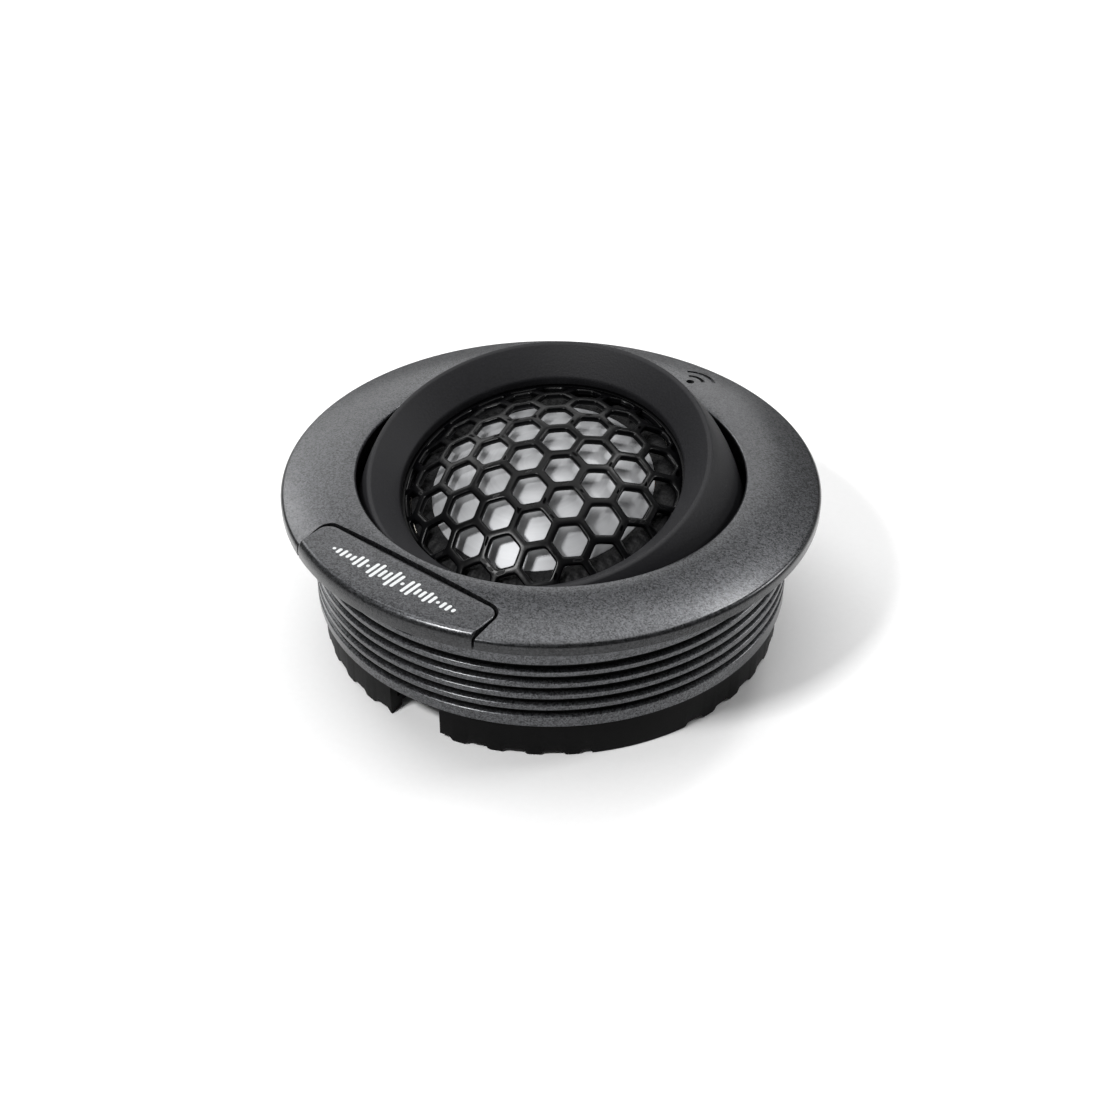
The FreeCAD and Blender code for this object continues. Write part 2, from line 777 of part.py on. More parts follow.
def motor():
    """Chassis ring, yoke, magnet, pole plate and the felt on the plate."""
    bores = []
    for azimuth in SCREW_AZIMUTHS:
        bore = rod(f"chassis_bore_{azimuth:.0f}", d.screw_r, 4, (d.screw_dist, 0, d.screw_top_h - 4))
        bores.append(turn_about_z(bore, azimuth))
    for side in (-1, 1):
        bores.append(block(
            f"chassis_slot_{side + 1}",
            (d.tag_x * side - 0.6, d.screw_dist - 3, 0),
            (d.tag_x * side + 0.6, d.screw_dist + 0.5, 7),
        ))
    ring = tube("chassis_body", d.yoke_r + 0.03, d.frame_outer_r, d.chassis_bottom_h, d.frame_ring_h)
    node(minus("chassis_done", ring, bores), "chassis_ring", in_cup=True)
    ring = tube("frame_ring", d.frame_inner_r, d.frame_outer_r, d.frame_ring_h, d.gasket_bottom_h)
    node(ring, "diaphragm_ring", in_cup=True)
    node(turned("yoke_body", [
        (d.vent_r, d.yoke_bottom_h),
        (d.yoke_r - 0.5, d.yoke_bottom_h),
        (d.yoke_r, d.yoke_bottom_h + 0.5),
        (d.yoke_r, d.plate_top_h),
        (d.yoke_inner_r, d.plate_top_h),
        (d.yoke_inner_r, d.magnet_bottom_h),
        (d.vent_r, d.magnet_bottom_h),
    ]), "yoke", in_cup=True)
    magnet = tube("magnet_body", d.vent_r, d.magnet_r, d.magnet_bottom_h, d.plate_bottom_h)
    node(magnet, "magnet", in_cup=True)
    node(tube("plate_body", d.vent_r, d.plate_r, d.plate_bottom_h, d.plate_top_h), "pole_plate", in_cup=True)
    node(tube("felt_body", d.vent_r, d.felt_r, d.plate_top_h, d.felt_top_h), "pole_felt", in_cup=True)
    node(tube("pad_body", 0, d.pad_r, d.pad_bottom_h, d.pad_top_h), "chamber_pad", in_cup=True)


def cap(name, edge, top):
    """A whole ball whose cap has this edge radius and the dome's height, with its top at a given height."""
    rise = d.dome_height
    radius = (edge * edge + rise * rise) / (rise * 2)
    sphere = doc.addObject("Part::Sphere", name)
    bind(sphere, "Radius", radius)
    centre = top - radius
    sphere.Placement = FreeCAD.Placement(FreeCAD.Vector(0, 0, centre.value), FreeCAD.Rotation())
    sphere.setExpression("Placement.Base.z", centre.text)
    return sphere


def roll_radius(start, end):
    """The bend of the surround's shallow roll, from its width and its rise."""
    span = end - start
    return (span * span / 4 + d.roll_rise * d.roll_rise) / (d.roll_rise * 2)


def diaphragm():
    """Dome, half-roll surround, coil former and coil winding."""
    wall = d.dome_wall
    top = d.dome_edge_h + d.dome_height
    inner = cap("dome_inner", d.dome_edge_r, top - wall)
    shell = minus("dome_shell", cap("dome_outer", d.dome_edge_r, top), [inner])
    trim = rod("dome_trim", d.dome_edge_r, d.dome_height + 1, (0, 0, d.dome_edge_h - wall))
    node(shared("dome_done", shell, trim), "dome", in_cup=True)
    start = d.dome_edge_r + 0.05
    end = d.frame_inner_r - 0.2
    node(turned("surround_body", [
        (start, d.dome_edge_h - wall),
        (start, d.dome_edge_h, -roll_radius(start, end)),
        (end, d.gasket_bottom_h),
        (end, d.gasket_bottom_h - wall, roll_radius(start, end)),
    ]), "surround", in_cup=True)
    former_r = d.coil_r + d.former_wall
    top = d.dome_edge_h - wall
    node(tube("former_body", d.coil_r, former_r, d.former_bottom_h, top - 0.02), "coil_former", in_cup=True)
    winding = tube("winding_body", former_r, former_r + d.winding_wall, d.winding_bottom_h, d.winding_top_h)
    node(winding, "coil_winding", in_cup=True)


# ---------------------------------------------------------------- wiring

def lead_path(side):
    """The coil lead's route from its solder tag, under the pad and up beside the yoke."""
    x = d.tag_x.value * side
    y_tag = d.board_y.value + 0.6
    low = d.cup_floor_h.value + d.cup_floor.value + d.board_thickness.value + d.tag_thickness.value
    rise_y = d.screw_dist.value - 0.1
    points = [
        FreeCAD.Vector(x, y_tag, low + d.lead_r.value),
        FreeCAD.Vector(x, y_tag + 4.5, low + d.lead_r.value),
        FreeCAD.Vector(x, rise_y, d.pad_bottom_h.value + 0.2),
        FreeCAD.Vector(x, rise_y, d.frame_ring_h.value - 0.5),
    ]
    return rounded_wire(points, 0.8)


def rounded_wire(points, radius):
    """Straight runs joined by tangent arcs of one radius."""
    edges = []
    begin = points[0]
    for before, corner, after in zip(points, points[1:], points[2:]):
        back = (before - corner).normalize()
        ahead = (after - corner).normalize()
        half = back.getAngle(ahead) / 2
        cut = radius / math.tan(half)
        start, end = corner + back * cut, corner + ahead * cut
        middle = corner + (back + ahead).normalize() * (radius / math.sin(half) - radius)
        edges.append(Part.LineSegment(begin, start).toShape())
        edges.append(Part.Arc(start, middle, end).toShape())
        begin = end
    edges.append(Part.LineSegment(begin, points[-1]).toShape())
    return Part.Wire(edges)


def wiring():
    """Terminal board, solder tags, coil leads and the grommet the outside lead comes through."""
    floor = d.cup_floor_h + d.cup_floor
    board = block(
        "board",
        (-d.board_length / 2, d.board_y - d.board_width / 2, floor),
        (d.board_length / 2, d.board_y + d.board_width / 2, floor + d.board_thickness),
    )
    node(group("board_group", [board]), "terminal_board", in_cup=True)
    tag_z = floor + d.board_thickness
    tags = [block(
        f"tag_{side + 1}",
        (d.tag_x * side - d.tag_width / 2, d.board_y - d.tag_length / 2, tag_z),
        (d.tag_x * side + d.tag_width / 2, d.board_y + d.tag_length / 2, tag_z + d.tag_thickness),
    ) for side in (-1, 1)]
    node(group("tags", tags), "solder_tags", in_cup=True)
    leads = doc.addObject("Part::Feature", "coil_leads_body")
    pipes = []
    for side in (-1, 1):
        path = lead_path(side)
        start = path.Vertexes[0].Point
        section = Part.Wire(Part.Circle(start, FreeCAD.Vector(0, 1, 0), d.lead_r.value).toShape())
        pipes.append(path.makePipeShell([section], True, False))
    leads.Shape = Part.makeCompound(pipes)
    node(leads, "coil_leads", in_cup=True)
    node(turned("grommet_body", [
        (d.grommet_bore_r, d.cup_floor_h - d.grommet_lip),
        (d.grommet_lip_r - 0.2, d.cup_floor_h - d.grommet_lip),
        (d.grommet_lip_r, d.cup_floor_h - d.grommet_lip + 0.2),
        (d.grommet_lip_r, d.cup_floor_h),
        (d.grommet_neck_r, d.cup_floor_h),
        (d.grommet_neck_r, floor),
        (d.grommet_lip_r - 0.3, floor),
        (d.grommet_lip_r - 0.3, floor + 0.4),
        (d.grommet_bore_r, floor + 0.4),
    ]), "lead_grommet", in_cup=True)


# ---------------------------------------------------------------- build, check and write

def check_and_write():
    """Stops on any failed feature or bad shape, then writes one STEP file per sub-part."""
    doc.recompute()
    faults = [item.Name for item in doc.Objects if {"Invalid", "Error"} & set(item.State)]
    for item in nodes:
        if item.Shape.isNull() or not item.Shape.isValid() or not item.Shape.Solids:
            faults.append(item.Label)
    if faults:
        raise RuntimeError("failed: " + ", ".join(faults))
    os.makedirs("parts", exist_ok=True)
    for item in nodes:
        item.Shape.exportStep(f"parts/{item.Label}.step")
        print(f"{item.Label}: {len(item.Shape.Solids)} solids, {item.Shape.Volume:.1f} mm3")


fill_sheet()
housing()
badge_plate()
base_ring()
carrier_washer()
pivot_carrier()
pivot_bushes()
swivel_bezel()
rear_cup()
rear_screws()
pivot_pins()
friction_washers()
grille()
grille_gasket()
motor()
diaphragm()
wiring()
check_and_write()
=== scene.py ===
"""A car tweeter: a domed speaker in a ball-shaped cup, aimed inside a threaded flush housing.

Sizes are in millimetres here and become metres when a surface is turned into a mesh. The cup's
pieces are drawn about the cup's own axis, as radius and height above the tilt hinge, and are then
leaned forward to the rest pose.
"""

from __future__ import annotations

import logging
import math
from collections.abc import Sequence
from dataclasses import dataclass
from enum import Enum

import bmesh
import bpy
import numpy as np
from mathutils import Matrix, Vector


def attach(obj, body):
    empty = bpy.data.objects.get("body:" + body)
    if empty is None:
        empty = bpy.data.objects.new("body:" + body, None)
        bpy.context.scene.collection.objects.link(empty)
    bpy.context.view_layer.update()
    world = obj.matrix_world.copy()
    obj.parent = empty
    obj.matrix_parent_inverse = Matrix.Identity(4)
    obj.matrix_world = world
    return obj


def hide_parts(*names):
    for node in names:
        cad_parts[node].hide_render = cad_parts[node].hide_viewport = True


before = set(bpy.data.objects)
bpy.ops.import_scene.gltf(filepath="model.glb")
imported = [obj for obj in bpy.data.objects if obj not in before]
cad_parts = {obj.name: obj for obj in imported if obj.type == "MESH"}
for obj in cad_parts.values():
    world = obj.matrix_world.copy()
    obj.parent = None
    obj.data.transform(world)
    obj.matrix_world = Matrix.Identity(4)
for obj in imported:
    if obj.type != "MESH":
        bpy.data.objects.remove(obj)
log = logging.getLogger("tweeter")

MM = 0.001
PIVOT_Z = 9.1
LEAN = math.radians(14.0)
# Spans in millimetres where the painted shade of the thread's roots and the rim fades in and out.
ROOT_TO_CREST_R = (22.85, 23.2)
THREAD_TO_FLANGE_Z = (12.9, 13.3)
CROWN_TO_RIM_R = (25.4, 25.95)
BADGE_GAP = 0.22
ABOVE_ALL_Z = 18.0

Corner = tuple[float, ...]
Pair = tuple[float, float]
Piece = bpy.types.Object
Tree = bpy.types.NodeTree
Socket = bpy.types.NodeSocket


# ------------------------------------------------------------------ outlines


def bent_line(corners: Sequence[Corner], step: float = 6.0) -> np.ndarray:
    """Join corners in a closed outline, with an arc after each corner that carries a bend.

    The arc's centre is sqrt(R*R - c*c/4) left of its chord's middle, or right for a negative bend.

    Args:
        corners: (across, up) or (across, up, bend) for each corner, in millimetres.
        step: the largest turn between two points of an arc, in degrees.

    Returns:
        The outline's points, one row each.
    """
    runs = []
    for here, there in zip(corners, [*corners[1:], corners[0]]):
        first, last = np.array(here[:2]), np.array(there[:2])
        if len(here) == 2:
            runs.append(first[None])
            continue
        chord = last - first
        length = np.hypot(*chord)
        normal = np.array([-chord[1], chord[0]]) / length
        rise = math.sqrt(here[2] ** 2 - length**2 / 4)
        centre = (first + last) / 2 + normal * math.copysign(rise, here[2])
        begin = np.arctan2(*(first - centre)[::-1])
        turn = (np.arctan2(*(last - centre)[::-1]) - begin + np.pi) % (2 * np.pi) - np.pi
        count = max(5, math.ceil(abs(math.degrees(turn)) / step))
        angle = begin + turn * np.arange(count) / count
        runs.append(centre + abs(here[2]) * np.column_stack([np.cos(angle), np.sin(angle)]))
    return np.vstack(runs)


def soften(points: np.ndarray, radius: float, steps: int = 5) -> np.ndarray:
    """Round each corner of a closed outline that turns by more than 18 degrees.

    A corner P becomes the parabola (1-t)^2 A + 2t(1-t) P + t^2 B, where A and B lie on its two
    runs at the radius from P, or at 45% of the shorter run.

    Args:
        points: the outline's points.
        radius: how far from its corner the rounding starts.
        steps: points in each rounded corner.

    Returns:
        The rounded outline, without repeated points.
    """
    back = np.roll(points, 1, axis=0) - points
    ahead = np.roll(points, -1, axis=0) - points
    back_length = np.linalg.norm(back, axis=1)[:, None]
    ahead_length = np.linalg.norm(ahead, axis=1)[:, None]
    straight = -(back * ahead).sum(axis=1)[:, None] / (back_length * ahead_length)
    cut = np.minimum(radius, 0.45 * np.minimum(back_length, ahead_length))
    cut = cut * (straight < math.cos(math.radians(18)))
    t = np.linspace(0, 1, steps)[:, None, None]
    start, end = points + back / back_length * cut, points + ahead / ahead_length * cut
    curve = (1 - t) ** 2 * start + 2 * t * (1 - t) * points + t**2 * end
    curve = curve.transpose(1, 0, 2).reshape(-1, 2)
    apart = np.linalg.norm(curve - np.roll(curve, 1, axis=0), axis=1)
    return curve[apart > 1e-5]


def on_ball(radius: float, height: float) -> float:
    """Distance from the axis of a ball's surface at a height above its centre."""
    return math.sqrt(radius**2 - height**2)


def smooth_step(values: np.ndarray, low: float, high: float) -> np.ndarray:
    """Rise from 0 at low to 1 at high along 3t^2 - 2t^3."""
    t = np.clip((values - low) / (high - low), 0, 1)
    return t * t * (3 - 2 * t)


def turn_angles(count: int, start: float = 0.0) -> np.ndarray:
    """Evenly spaced angles of one whole turn, in radians, from a start in degrees."""
    return math.radians(start) + 2 * np.pi * np.arange(count) / count


def revolve(radius: np.ndarray, height: np.ndarray, angle: np.ndarray) -> np.ndarray:
    """Points (r cos a, r sin a, h) for arrays of radius, height and angle that fit together.

    Args:
        radius: distances from the axis.
        height: heights along the axis.
        angle: angles about it, in radians.

    Returns:
        The points, with x, y and z last.
    """
    radius, height, angle = np.broadcast_arrays(radius, height, angle)
    return np.stack([radius * np.cos(angle), radius * np.sin(angle), height], axis=-1)


def turned(points: np.ndarray, degrees: float) -> np.ndarray:
    """Points turned about the housing's axis: x' = x cos - y sin, y' = x sin + y cos.

    Args:
        points: points of x, y and, where there is one, z along the last axis.
        degrees: the turn, counter-clockwise as seen from above.

    Returns:
        The turned points, in the same layout.
    """
    cos, sin = math.cos(math.radians(degrees)), math.sin(math.radians(degrees))
    x, y = points[..., 0], points[..., 1]
    flat = np.stack([x * cos - y * sin, x * sin + y * cos], axis=-1)
    return np.concatenate([flat, points[..., 2:]], axis=-1)


def in_cup(points: np.ndarray) -> np.ndarray:
    """Lean points by the rest tilt about the hinge: y' = y cos - h sin, z' = y sin + h cos + pivot.

    Args:
        points: points of the upright cup, with heights from the hinge.

    Returns:
        The leaning points, in the same layout.
    """
    y, h = points[..., 1], points[..., 2]
    cos, sin = math.cos(LEAN), math.sin(LEAN)
    return np.stack([points[..., 0], y * cos - h * sin, y * sin + h * cos + PIVOT_Z], axis=-1)


# ------------------------------------------------------------------ meshes


class Shell:
    """Surfaces gathered point by point and welded into one closed mesh."""

    def __init__(self) -> None:
        """Start with no points and no faces."""
        self.points: list[np.ndarray] = []
        self.faces: list[list[int]] = []
        self.count = 0

    def _keep(self, points: np.ndarray) -> np.ndarray:
        """Store points and give their numbers, in the same layout.

        Args:
            points: points of x, y and z along the last axis.

        Returns:
            Each point's number in the shell.
        """
        numbers = self.count + np.arange(points[..., 0].size).reshape(points.shape[:-1])
        self.points.append(points.reshape(-1, 3))
        self.count += numbers.size
        return numbers

    def grid(self, points: np.ndarray, wrap_rows: bool = True, wrap_columns: bool = True) -> None:
        """Add a surface from a grid of points.

        Args:
            points: rows by columns by 3, in millimetres.
            wrap_rows: join the last row to the first.
            wrap_columns: join the last column to the first.
        """
        at = self._keep(points)
        at = np.vstack([at, at[:1]]) if wrap_rows else at
        at = np.hstack([at, at[:, :1]]) if wrap_columns else at
        quads = np.stack([at[:-1, :-1], at[1:, :-1], at[1:, 1:], at[:-1, 1:]], axis=-1)
        self.faces += quads.reshape(-1, 4).tolist()

    def face(self, points: np.ndarray) -> None:
        """Add one flat face round a loop of points."""
        self.faces.append(self._keep(points).tolist())

    def prism(self, outline: np.ndarray, low: float, high: float) -> None:
        """Add an upright solid over a flat outline.

        Args:
            outline: the outline's points, two numbers each.
            low: height of its foot.
            high: height of its top.
        """
        rings = np.stack([np.column_stack([outline, np.full(len(outline), z)]) for z in (low, high)])
        self.grid(rings, wrap_rows=False)
        self.face(rings[0])
        self.face(rings[1])

    def make(self, name: str, crease: float = 38.0) -> Piece:
        """Weld the surfaces, point their faces outwards and link the object.

        Args:
            name: the piece's name.
            crease: edges that turn by more than this many degrees stay sharp.

        Returns:
            The new object, at the origin.
        """
        mesh = bpy.data.meshes.new(name)
        mesh.from_pydata(np.vstack(self.points) * MM, [], self.faces)
        work = bmesh.new()
        work.from_mesh(mesh)
        bmesh.ops.remove_doubles(work, verts=work.verts, dist=5e-7)
        bmesh.ops.dissolve_degenerate(work, edges=work.edges, dist=1e-7)
        bmesh.ops.recalc_face_normals(work, faces=work.faces)
        work.to_mesh(mesh)
        work.free()
        piece = bpy.data.objects.new(name, mesh)
        bpy.context.scene.collection.objects.link(piece)
        shade(piece, crease)
        return piece


def shade(piece: Piece, crease: float) -> None:
    """Shade a mesh smoothly, with sharp edges above a crease angle in degrees."""
    piece.data.polygons.foreach_set("use_smooth", np.ones(len(piece.data.polygons), dtype=bool))
    piece.data.set_sharp_from_angle(angle=math.radians(crease))


def carve(piece: Piece, tool: Shell, crease: float = 38.0) -> None:
    """Cut a solid out of a piece and drop the tool.

    Args:
        piece: the piece to cut.
        tool: the solid to take away.
        crease: the angle above which edges stay sharp, in degrees.
    """
    cutter = tool.make("cutting_tool")
    cut = piece.modifiers.new("cut", "BOOLEAN")
    cut.object, cut.operation, cut.solver = cutter, "DIFFERENCE", "EXACT"
    whole = piece.evaluated_get(bpy.context.evaluated_depsgraph_get())
    result = bpy.data.meshes.new_from_object(whole)
    before = piece.data
    piece.modifiers.clear()
    piece.data = result
    for old in (before, cutter.data):
        bpy.data.meshes.remove(old)
    result.name = piece.name
    shade(piece, crease)


# ------------------------------------------------------------------ finishes


def linear(code: str, alpha: float = 1.0) -> tuple[float, float, float, float]:
    """Turn an sRGB hex colour into linear red, green, blue and alpha.

    Args:
        code: the colour, as #rrggbb.
        alpha: its opacity, from 0 to 1.

    Returns:
        The four linear values.
    """
    srgb = np.array([int(code[i : i + 2], 16) for i in (1, 3, 5)]) / 255
    parts = np.where(srgb <= 0.04045, srgb / 12.92, ((srgb + 0.055) / 1.055) ** 2.4)
    return (*parts.tolist(), alpha)


def add_node(
    tree: Tree, kind: str, inputs: dict[str | int, object] | None = None, **settings: object
) -> bpy.types.Node:
    """Add a shader node, set its properties, and fill or link its inputs.

    Args:
        tree: the material's node tree.
        kind: the node's type name.
        inputs: a value, or another node's output socket, for each input by name or place.
        **settings: the node's own properties.

    Returns:
        The new node.
    """
    made = tree.nodes.new(kind)
    for key, value in settings.items():
        setattr(made, key, value)
    for key, value in (inputs or {}).items():
        if isinstance(value, Socket):
            tree.links.new(value, made.inputs[key])
        else:
            made.inputs[key].default_value = value
    return made


def noise(tree: Tree, place: Socket, scale: float, detail: float, **more: float) -> Socket:
    """Add a noise texture over a place, and give its value from 0 to 1."""
    inputs = {"Vector": place, "Scale": scale, "Detail": detail, **more}
    return add_node(tree, "ShaderNodeTexNoise", inputs).outputs["Fac"]


def worked(tree: Tree, operation: str, *values: object) -> Socket:
    """Add a math node on numbers or sockets, and give its result."""
    return add_node(tree, "ShaderNodeMath", dict(enumerate(values)), operation=operation).outputs[0]


class Lay(Enum):
    """How a surface's fine pattern runs."""

    EVEN = "even"
    FLAKE = "flake"
    TURNED = "turned"
    WOUND = "wound"
    FIBRE = "fibre"
    WOVEN = "woven"


class Centre(Enum):
    """The axis that a pattern is centred on."""

    HOUSING = "housing"
    CUP = "cup"
    HINGE = "hinge"


@dataclass(frozen=True)
class Finish:
    """One real finish: its colours, its gloss and the size of its pattern.

    The pattern field is 0 to 1. It mixes the two colours, moves the roughness between its two
    limits and lifts the surface by its depth. A slower mottle is added to the colour.
    """

    name: str
    dark: str
    light: str
    rough: Pair
    metallic: float = 0.0
    lay: Lay = Lay.EVEN
    centre: Centre = Centre.HOUSING
    grain_mm: float = 0.25
    depth_mm: float = 0.01
    mottle_mm: float = 4.0
    mottle: float = 0.35
    ior: float | None = None
    coat: float = 0.0
    coat_rough: float = 0.08
    sheen: float = 0.0
    specular: float = 0.5
    # Painted shade: the share of colour left in the thread's roots and near the rim, standing in for shade; 1
    # paints none.
    painted_shade: float = 1.0

    def _place(self, tree: Tree) -> Socket:
        """Object coordinates, turned so that Z runs along the pattern's axis.

        Args:
            tree: the material's nodes.

        Returns:
            The socket that gives the coordinates.
        """
        place = add_node(tree, "ShaderNodeTexCoord").outputs["Object"]
        if self.centre is Centre.HOUSING:
            return place
        moved = add_node(tree, "ShaderNodeMapping", {"Vector": place, "Location": (0, 0, -PIVOT_Z * MM)})
        turn = (-LEAN, 0, 0) if self.centre is Centre.CUP else (0, math.pi / 2, 0)
        spun = add_node(tree, "ShaderNodeMapping", {"Vector": moved.outputs["Vector"], "Rotation": turn})
        return spun.outputs["Vector"]

    def _field(self, tree: Tree, place: Socket) -> Socket:
        """The pattern's value at a place, from 0 to 1.

        Args:
            tree: the material's node tree.
            place: the coordinates to read.

        Returns:
            The socket that carries the value.
        """
        scale = 1 / (self.grain_mm * MM)
        if self.lay is Lay.EVEN:
            return noise(tree, place, scale, 2.0)
        if self.lay is Lay.FLAKE:
            cells = add_node(tree, "ShaderNodeTexVoronoi", {"Vector": place, "Scale": scale})
            return add_node(tree, "ShaderNodeSeparateColor", {"Color": cells.outputs["Color"]}).outputs["Red"]
        if self.lay is Lay.FIBRE:
            long = add_node(tree, "ShaderNodeMapping", {"Vector": place, "Scale": (0.25, 1, 0.6)})
            return noise(tree, long.outputs[0], scale, 4.0, Distortion=1.2)
        parts = add_node(tree, "ShaderNodeSeparateXYZ", {"Vector": place})
        if self.lay is Lay.WOVEN:
            waves = [self._wave(tree, parts.outputs[axis], scale) for axis in ("X", "Y")]
            return worked(tree, "MULTIPLY", *waves)
        if self.lay is Lay.WOUND:
            return self._wave(tree, parts.outputs["Z"], scale)
        radius = self._radius(tree, parts)
        line = add_node(tree, "ShaderNodeCombineXYZ", {"X": radius, "Y": parts.outputs["Z"]})
        return noise(tree, line.outputs[0], scale, 3.0)

    @staticmethod
    def _radius(tree: Tree, parts: bpy.types.Node) -> Socket:
        """Distance from the pattern's axis, from the three coordinates of a place.

        Args:
            tree: the material's nodes.
            parts: the node that splits a place into its coordinates.

        Returns:
            The socket that gives the distance.
        """
        flat = add_node(tree, "ShaderNodeCombineXYZ", {"X": parts.outputs["X"], "Y": parts.outputs["Y"]})
        length = add_node(tree, "ShaderNodeVectorMath", {0: flat.outputs[0]}, operation="LENGTH")
        return length.outputs["Value"]

    def _painted_shade_share(self, tree: Tree, place: Socket) -> Socket:
        """Painted shade: the share of colour left, all on crests and the flange, less in the thread's roots
        and toward the rim, where it stands in for shade.

        Args:
            tree: the material's node tree.
            place: the coordinates to read.

        Returns:
            The socket that carries the share, from the painted shade to 1.
        """
        parts = add_node(tree, "ShaderNodeSeparateXYZ", {"Vector": place})
        radius, height = self._radius(tree, parts), parts.outputs["Z"]

        def fade(along: Socket, span: Pair, first: float, last: float) -> Socket:
            """Go from one share to another over a span in millimetres.

            Args:
                along: the distance to read.
                span: where the change begins and ends, in millimetres.
                first: the share before it.
                last: the share after it.

            Returns:
                The socket that gives the share.
            """
            low, high = span[0] * MM, span[1] * MM
            inputs = {"Value": along, "From Min": low, "From Max": high, "To Min": first, "To Max": last}
            return add_node(tree, "ShaderNodeMapRange", inputs).outputs[0]

        on_crest = fade(radius, ROOT_TO_CREST_R, self.painted_shade, 1.0)
        on_flange = fade(height, THREAD_TO_FLANGE_Z, self.painted_shade, 1.0)
        off_rim = fade(radius, CROWN_TO_RIM_R, 1.0, 3 * self.painted_shade)
        return worked(tree, "MULTIPLY", worked(tree, "MAXIMUM", on_crest, on_flange), off_rim)

    @staticmethod
    def _wave(tree: Tree, along: Socket, scale: float) -> Socket:
        """A wave (1 + sin(2 pi x scale)) / 2 along one coordinate."""
        wave = worked(tree, "SINE", worked(tree, "MULTIPLY", along, 2 * math.pi * scale))
        return worked(tree, "MULTIPLY_ADD", wave, 0.5, 0.5)

    def make(self) -> bpy.types.Material:
        """Build the material, or give it again if it's already there.

        Returns:
            The material.
        """
        if self.name in bpy.data.materials:
            return bpy.data.materials[self.name]
        material = bpy.data.materials.new(self.name)
        material.use_nodes = True
        tree = material.node_tree
        shader = tree.nodes["Principled BSDF"]
        place = self._place(tree)
        field = self._field(tree, place)
        slow = noise(tree, place, 1 / (self.mottle_mm * MM), 3.0)
        fine = worked(tree, "MULTIPLY", field, 1 - self.mottle)
        tone = worked(tree, "MULTIPLY_ADD", slow, self.mottle, fine)
        mix = {"Fac": tone, "Color1": linear(self.dark), "Color2": linear(self.light)}
        colour = add_node(tree, "ShaderNodeMixRGB", mix)
        # Painted shade: darken the colour in the thread's roots and toward the flange's outer rim.
        if self.painted_shade < 1:
            mix = {"Fac": 1.0, "Color1": colour.outputs[0], "Color2": self._painted_shade_share(tree, place)}
            colour = add_node(tree, "ShaderNodeMixRGB", mix, blend_type="MULTIPLY")
        limits = {"Value": tone, "To Min": self.rough[0], "To Max": self.rough[1]}
        gloss = add_node(tree, "ShaderNodeMapRange", limits)
        bump = add_node(tree, "ShaderNodeBump", {"Height": field, "Distance": self.depth_mm * MM})
        tree.links.new(colour.outputs[0], shader.inputs["Base Color"])
        tree.links.new(gloss.outputs[0], shader.inputs["Roughness"])
        tree.links.new(bump.outputs[0], shader.inputs["Normal"])
        constants = {
            "Metallic": self.metallic, "Coat Weight": self.coat, "Coat Roughness": self.coat_rough,
            "Sheen Weight": self.sheen, "Specular IOR Level": self.specular,
        }
        for key, value in constants.items():
            shader.inputs[key].default_value = value
        if self.ior is not None:
            shader.inputs["IOR"].default_value = self.ior
        return material


# Zinc die-casting sprayed with a metallic texture paint: a grey that sparkles with pigment flakes. Thread
# roots and the rim's edge get painted shade.
SPRAYED_METALLIC_PAINT = Finish(
    "sprayed_metallic_paint", "#191a1b", "#626366", (0.27, 0.40), 0.9, Lay.FLAKE,
    grain_mm=0.13, depth_mm=0.008, mottle_mm=0.5, mottle=0.3, coat=0.45, coat_rough=0.2, painted_shade=0.12,
)
# Pad-printed silver ink on the plate: flat, bright, faintly grainy at its edges.
PAD_PRINTED_SILVER = Finish(
    "pad_printed_silver_ink", "#c6c8ca", "#eceded", (0.35, 0.5), 0.6, grain_mm=0.12, depth_mm=0.003,
)
# Glass-filled nylon, moulded: near-black, satin, with a faint flow mottle.
MOULDED_NYLON = Finish(
    "moulded_glass_filled_nylon", "#020202", "#070708", (0.42, 0.58), ior=1.53, specular=0.08,
    grain_mm=0.22, depth_mm=0.008, mottle_mm=5.0,
)
# ABS with a spark-eroded texture from its tool: matte charcoal with an even fine grain.
SPARKED_ABS = Finish(
    "spark_eroded_abs", "#0e0e10", "#242427", (0.5, 0.68), ior=1.52, specular=0.26,
    grain_mm=0.2, depth_mm=0.02, mottle_mm=7.0, mottle=0.25,
)
# Punched steel guard in baked gloss enamel: black with sharp highlights and a slight orange peel.
BAKED_ENAMEL = Finish(
    "baked_gloss_enamel", "#010102", "#040405", (0.24, 0.34), ior=1.5, specular=0.16,
    grain_mm=0.7, depth_mm=0.012, mottle_mm=2.5,
)
# Aluminium foil drawn into a dome and anodised: satin silver with faint drawing lines.
ANODISED_FOIL = Finish(
    "drawn_anodised_aluminium", "#98999b", "#c4c5c7", (0.46, 0.58), 0.45, Lay.TURNED, Centre.CUP,
    grain_mm=0.2, depth_mm=0.004, mottle_mm=3.0, mottle=0.5,
)
# Woven cloth sealed with black rubber: dull, with a weave that just shows.
SEALED_CLOTH = Finish(
    "rubber_sealed_cloth", "#050506", "#0e0e10", (0.55, 0.75), 0.0, Lay.WOVEN, Centre.CUP,
    grain_mm=0.3, depth_mm=0.02, sheen=0.05, ior=1.5, specular=0.2,
)
# ABS rear shell, moulded with a fine vapour-blasted tool: plain black satin.
MOULDED_ABS = Finish(
    "moulded_abs", "#111113", "#202023", (0.42, 0.6), 0.0, Lay.EVEN, Centre.CUP, ior=1.52,
    grain_mm=0.25, depth_mm=0.012,
)
# Acetal, machined-smooth as moulded: milky white and slippery.
MOULDED_ACETAL = Finish(
    "moulded_acetal", "#d9d7cf", "#ecebe5", (0.28, 0.4), 0.0, Lay.TURNED, Centre.HINGE, ior=1.48,
    grain_mm=0.3, depth_mm=0.004,
)
# Bright zinc on steel: bluish silver with small spangles.
BRIGHT_ZINC = Finish(
    "bright_zinc_plated_steel", "#9fa6ad", "#cfd4d8", (0.22, 0.4), 1.0, grain_mm=0.4, depth_mm=0.003,
)
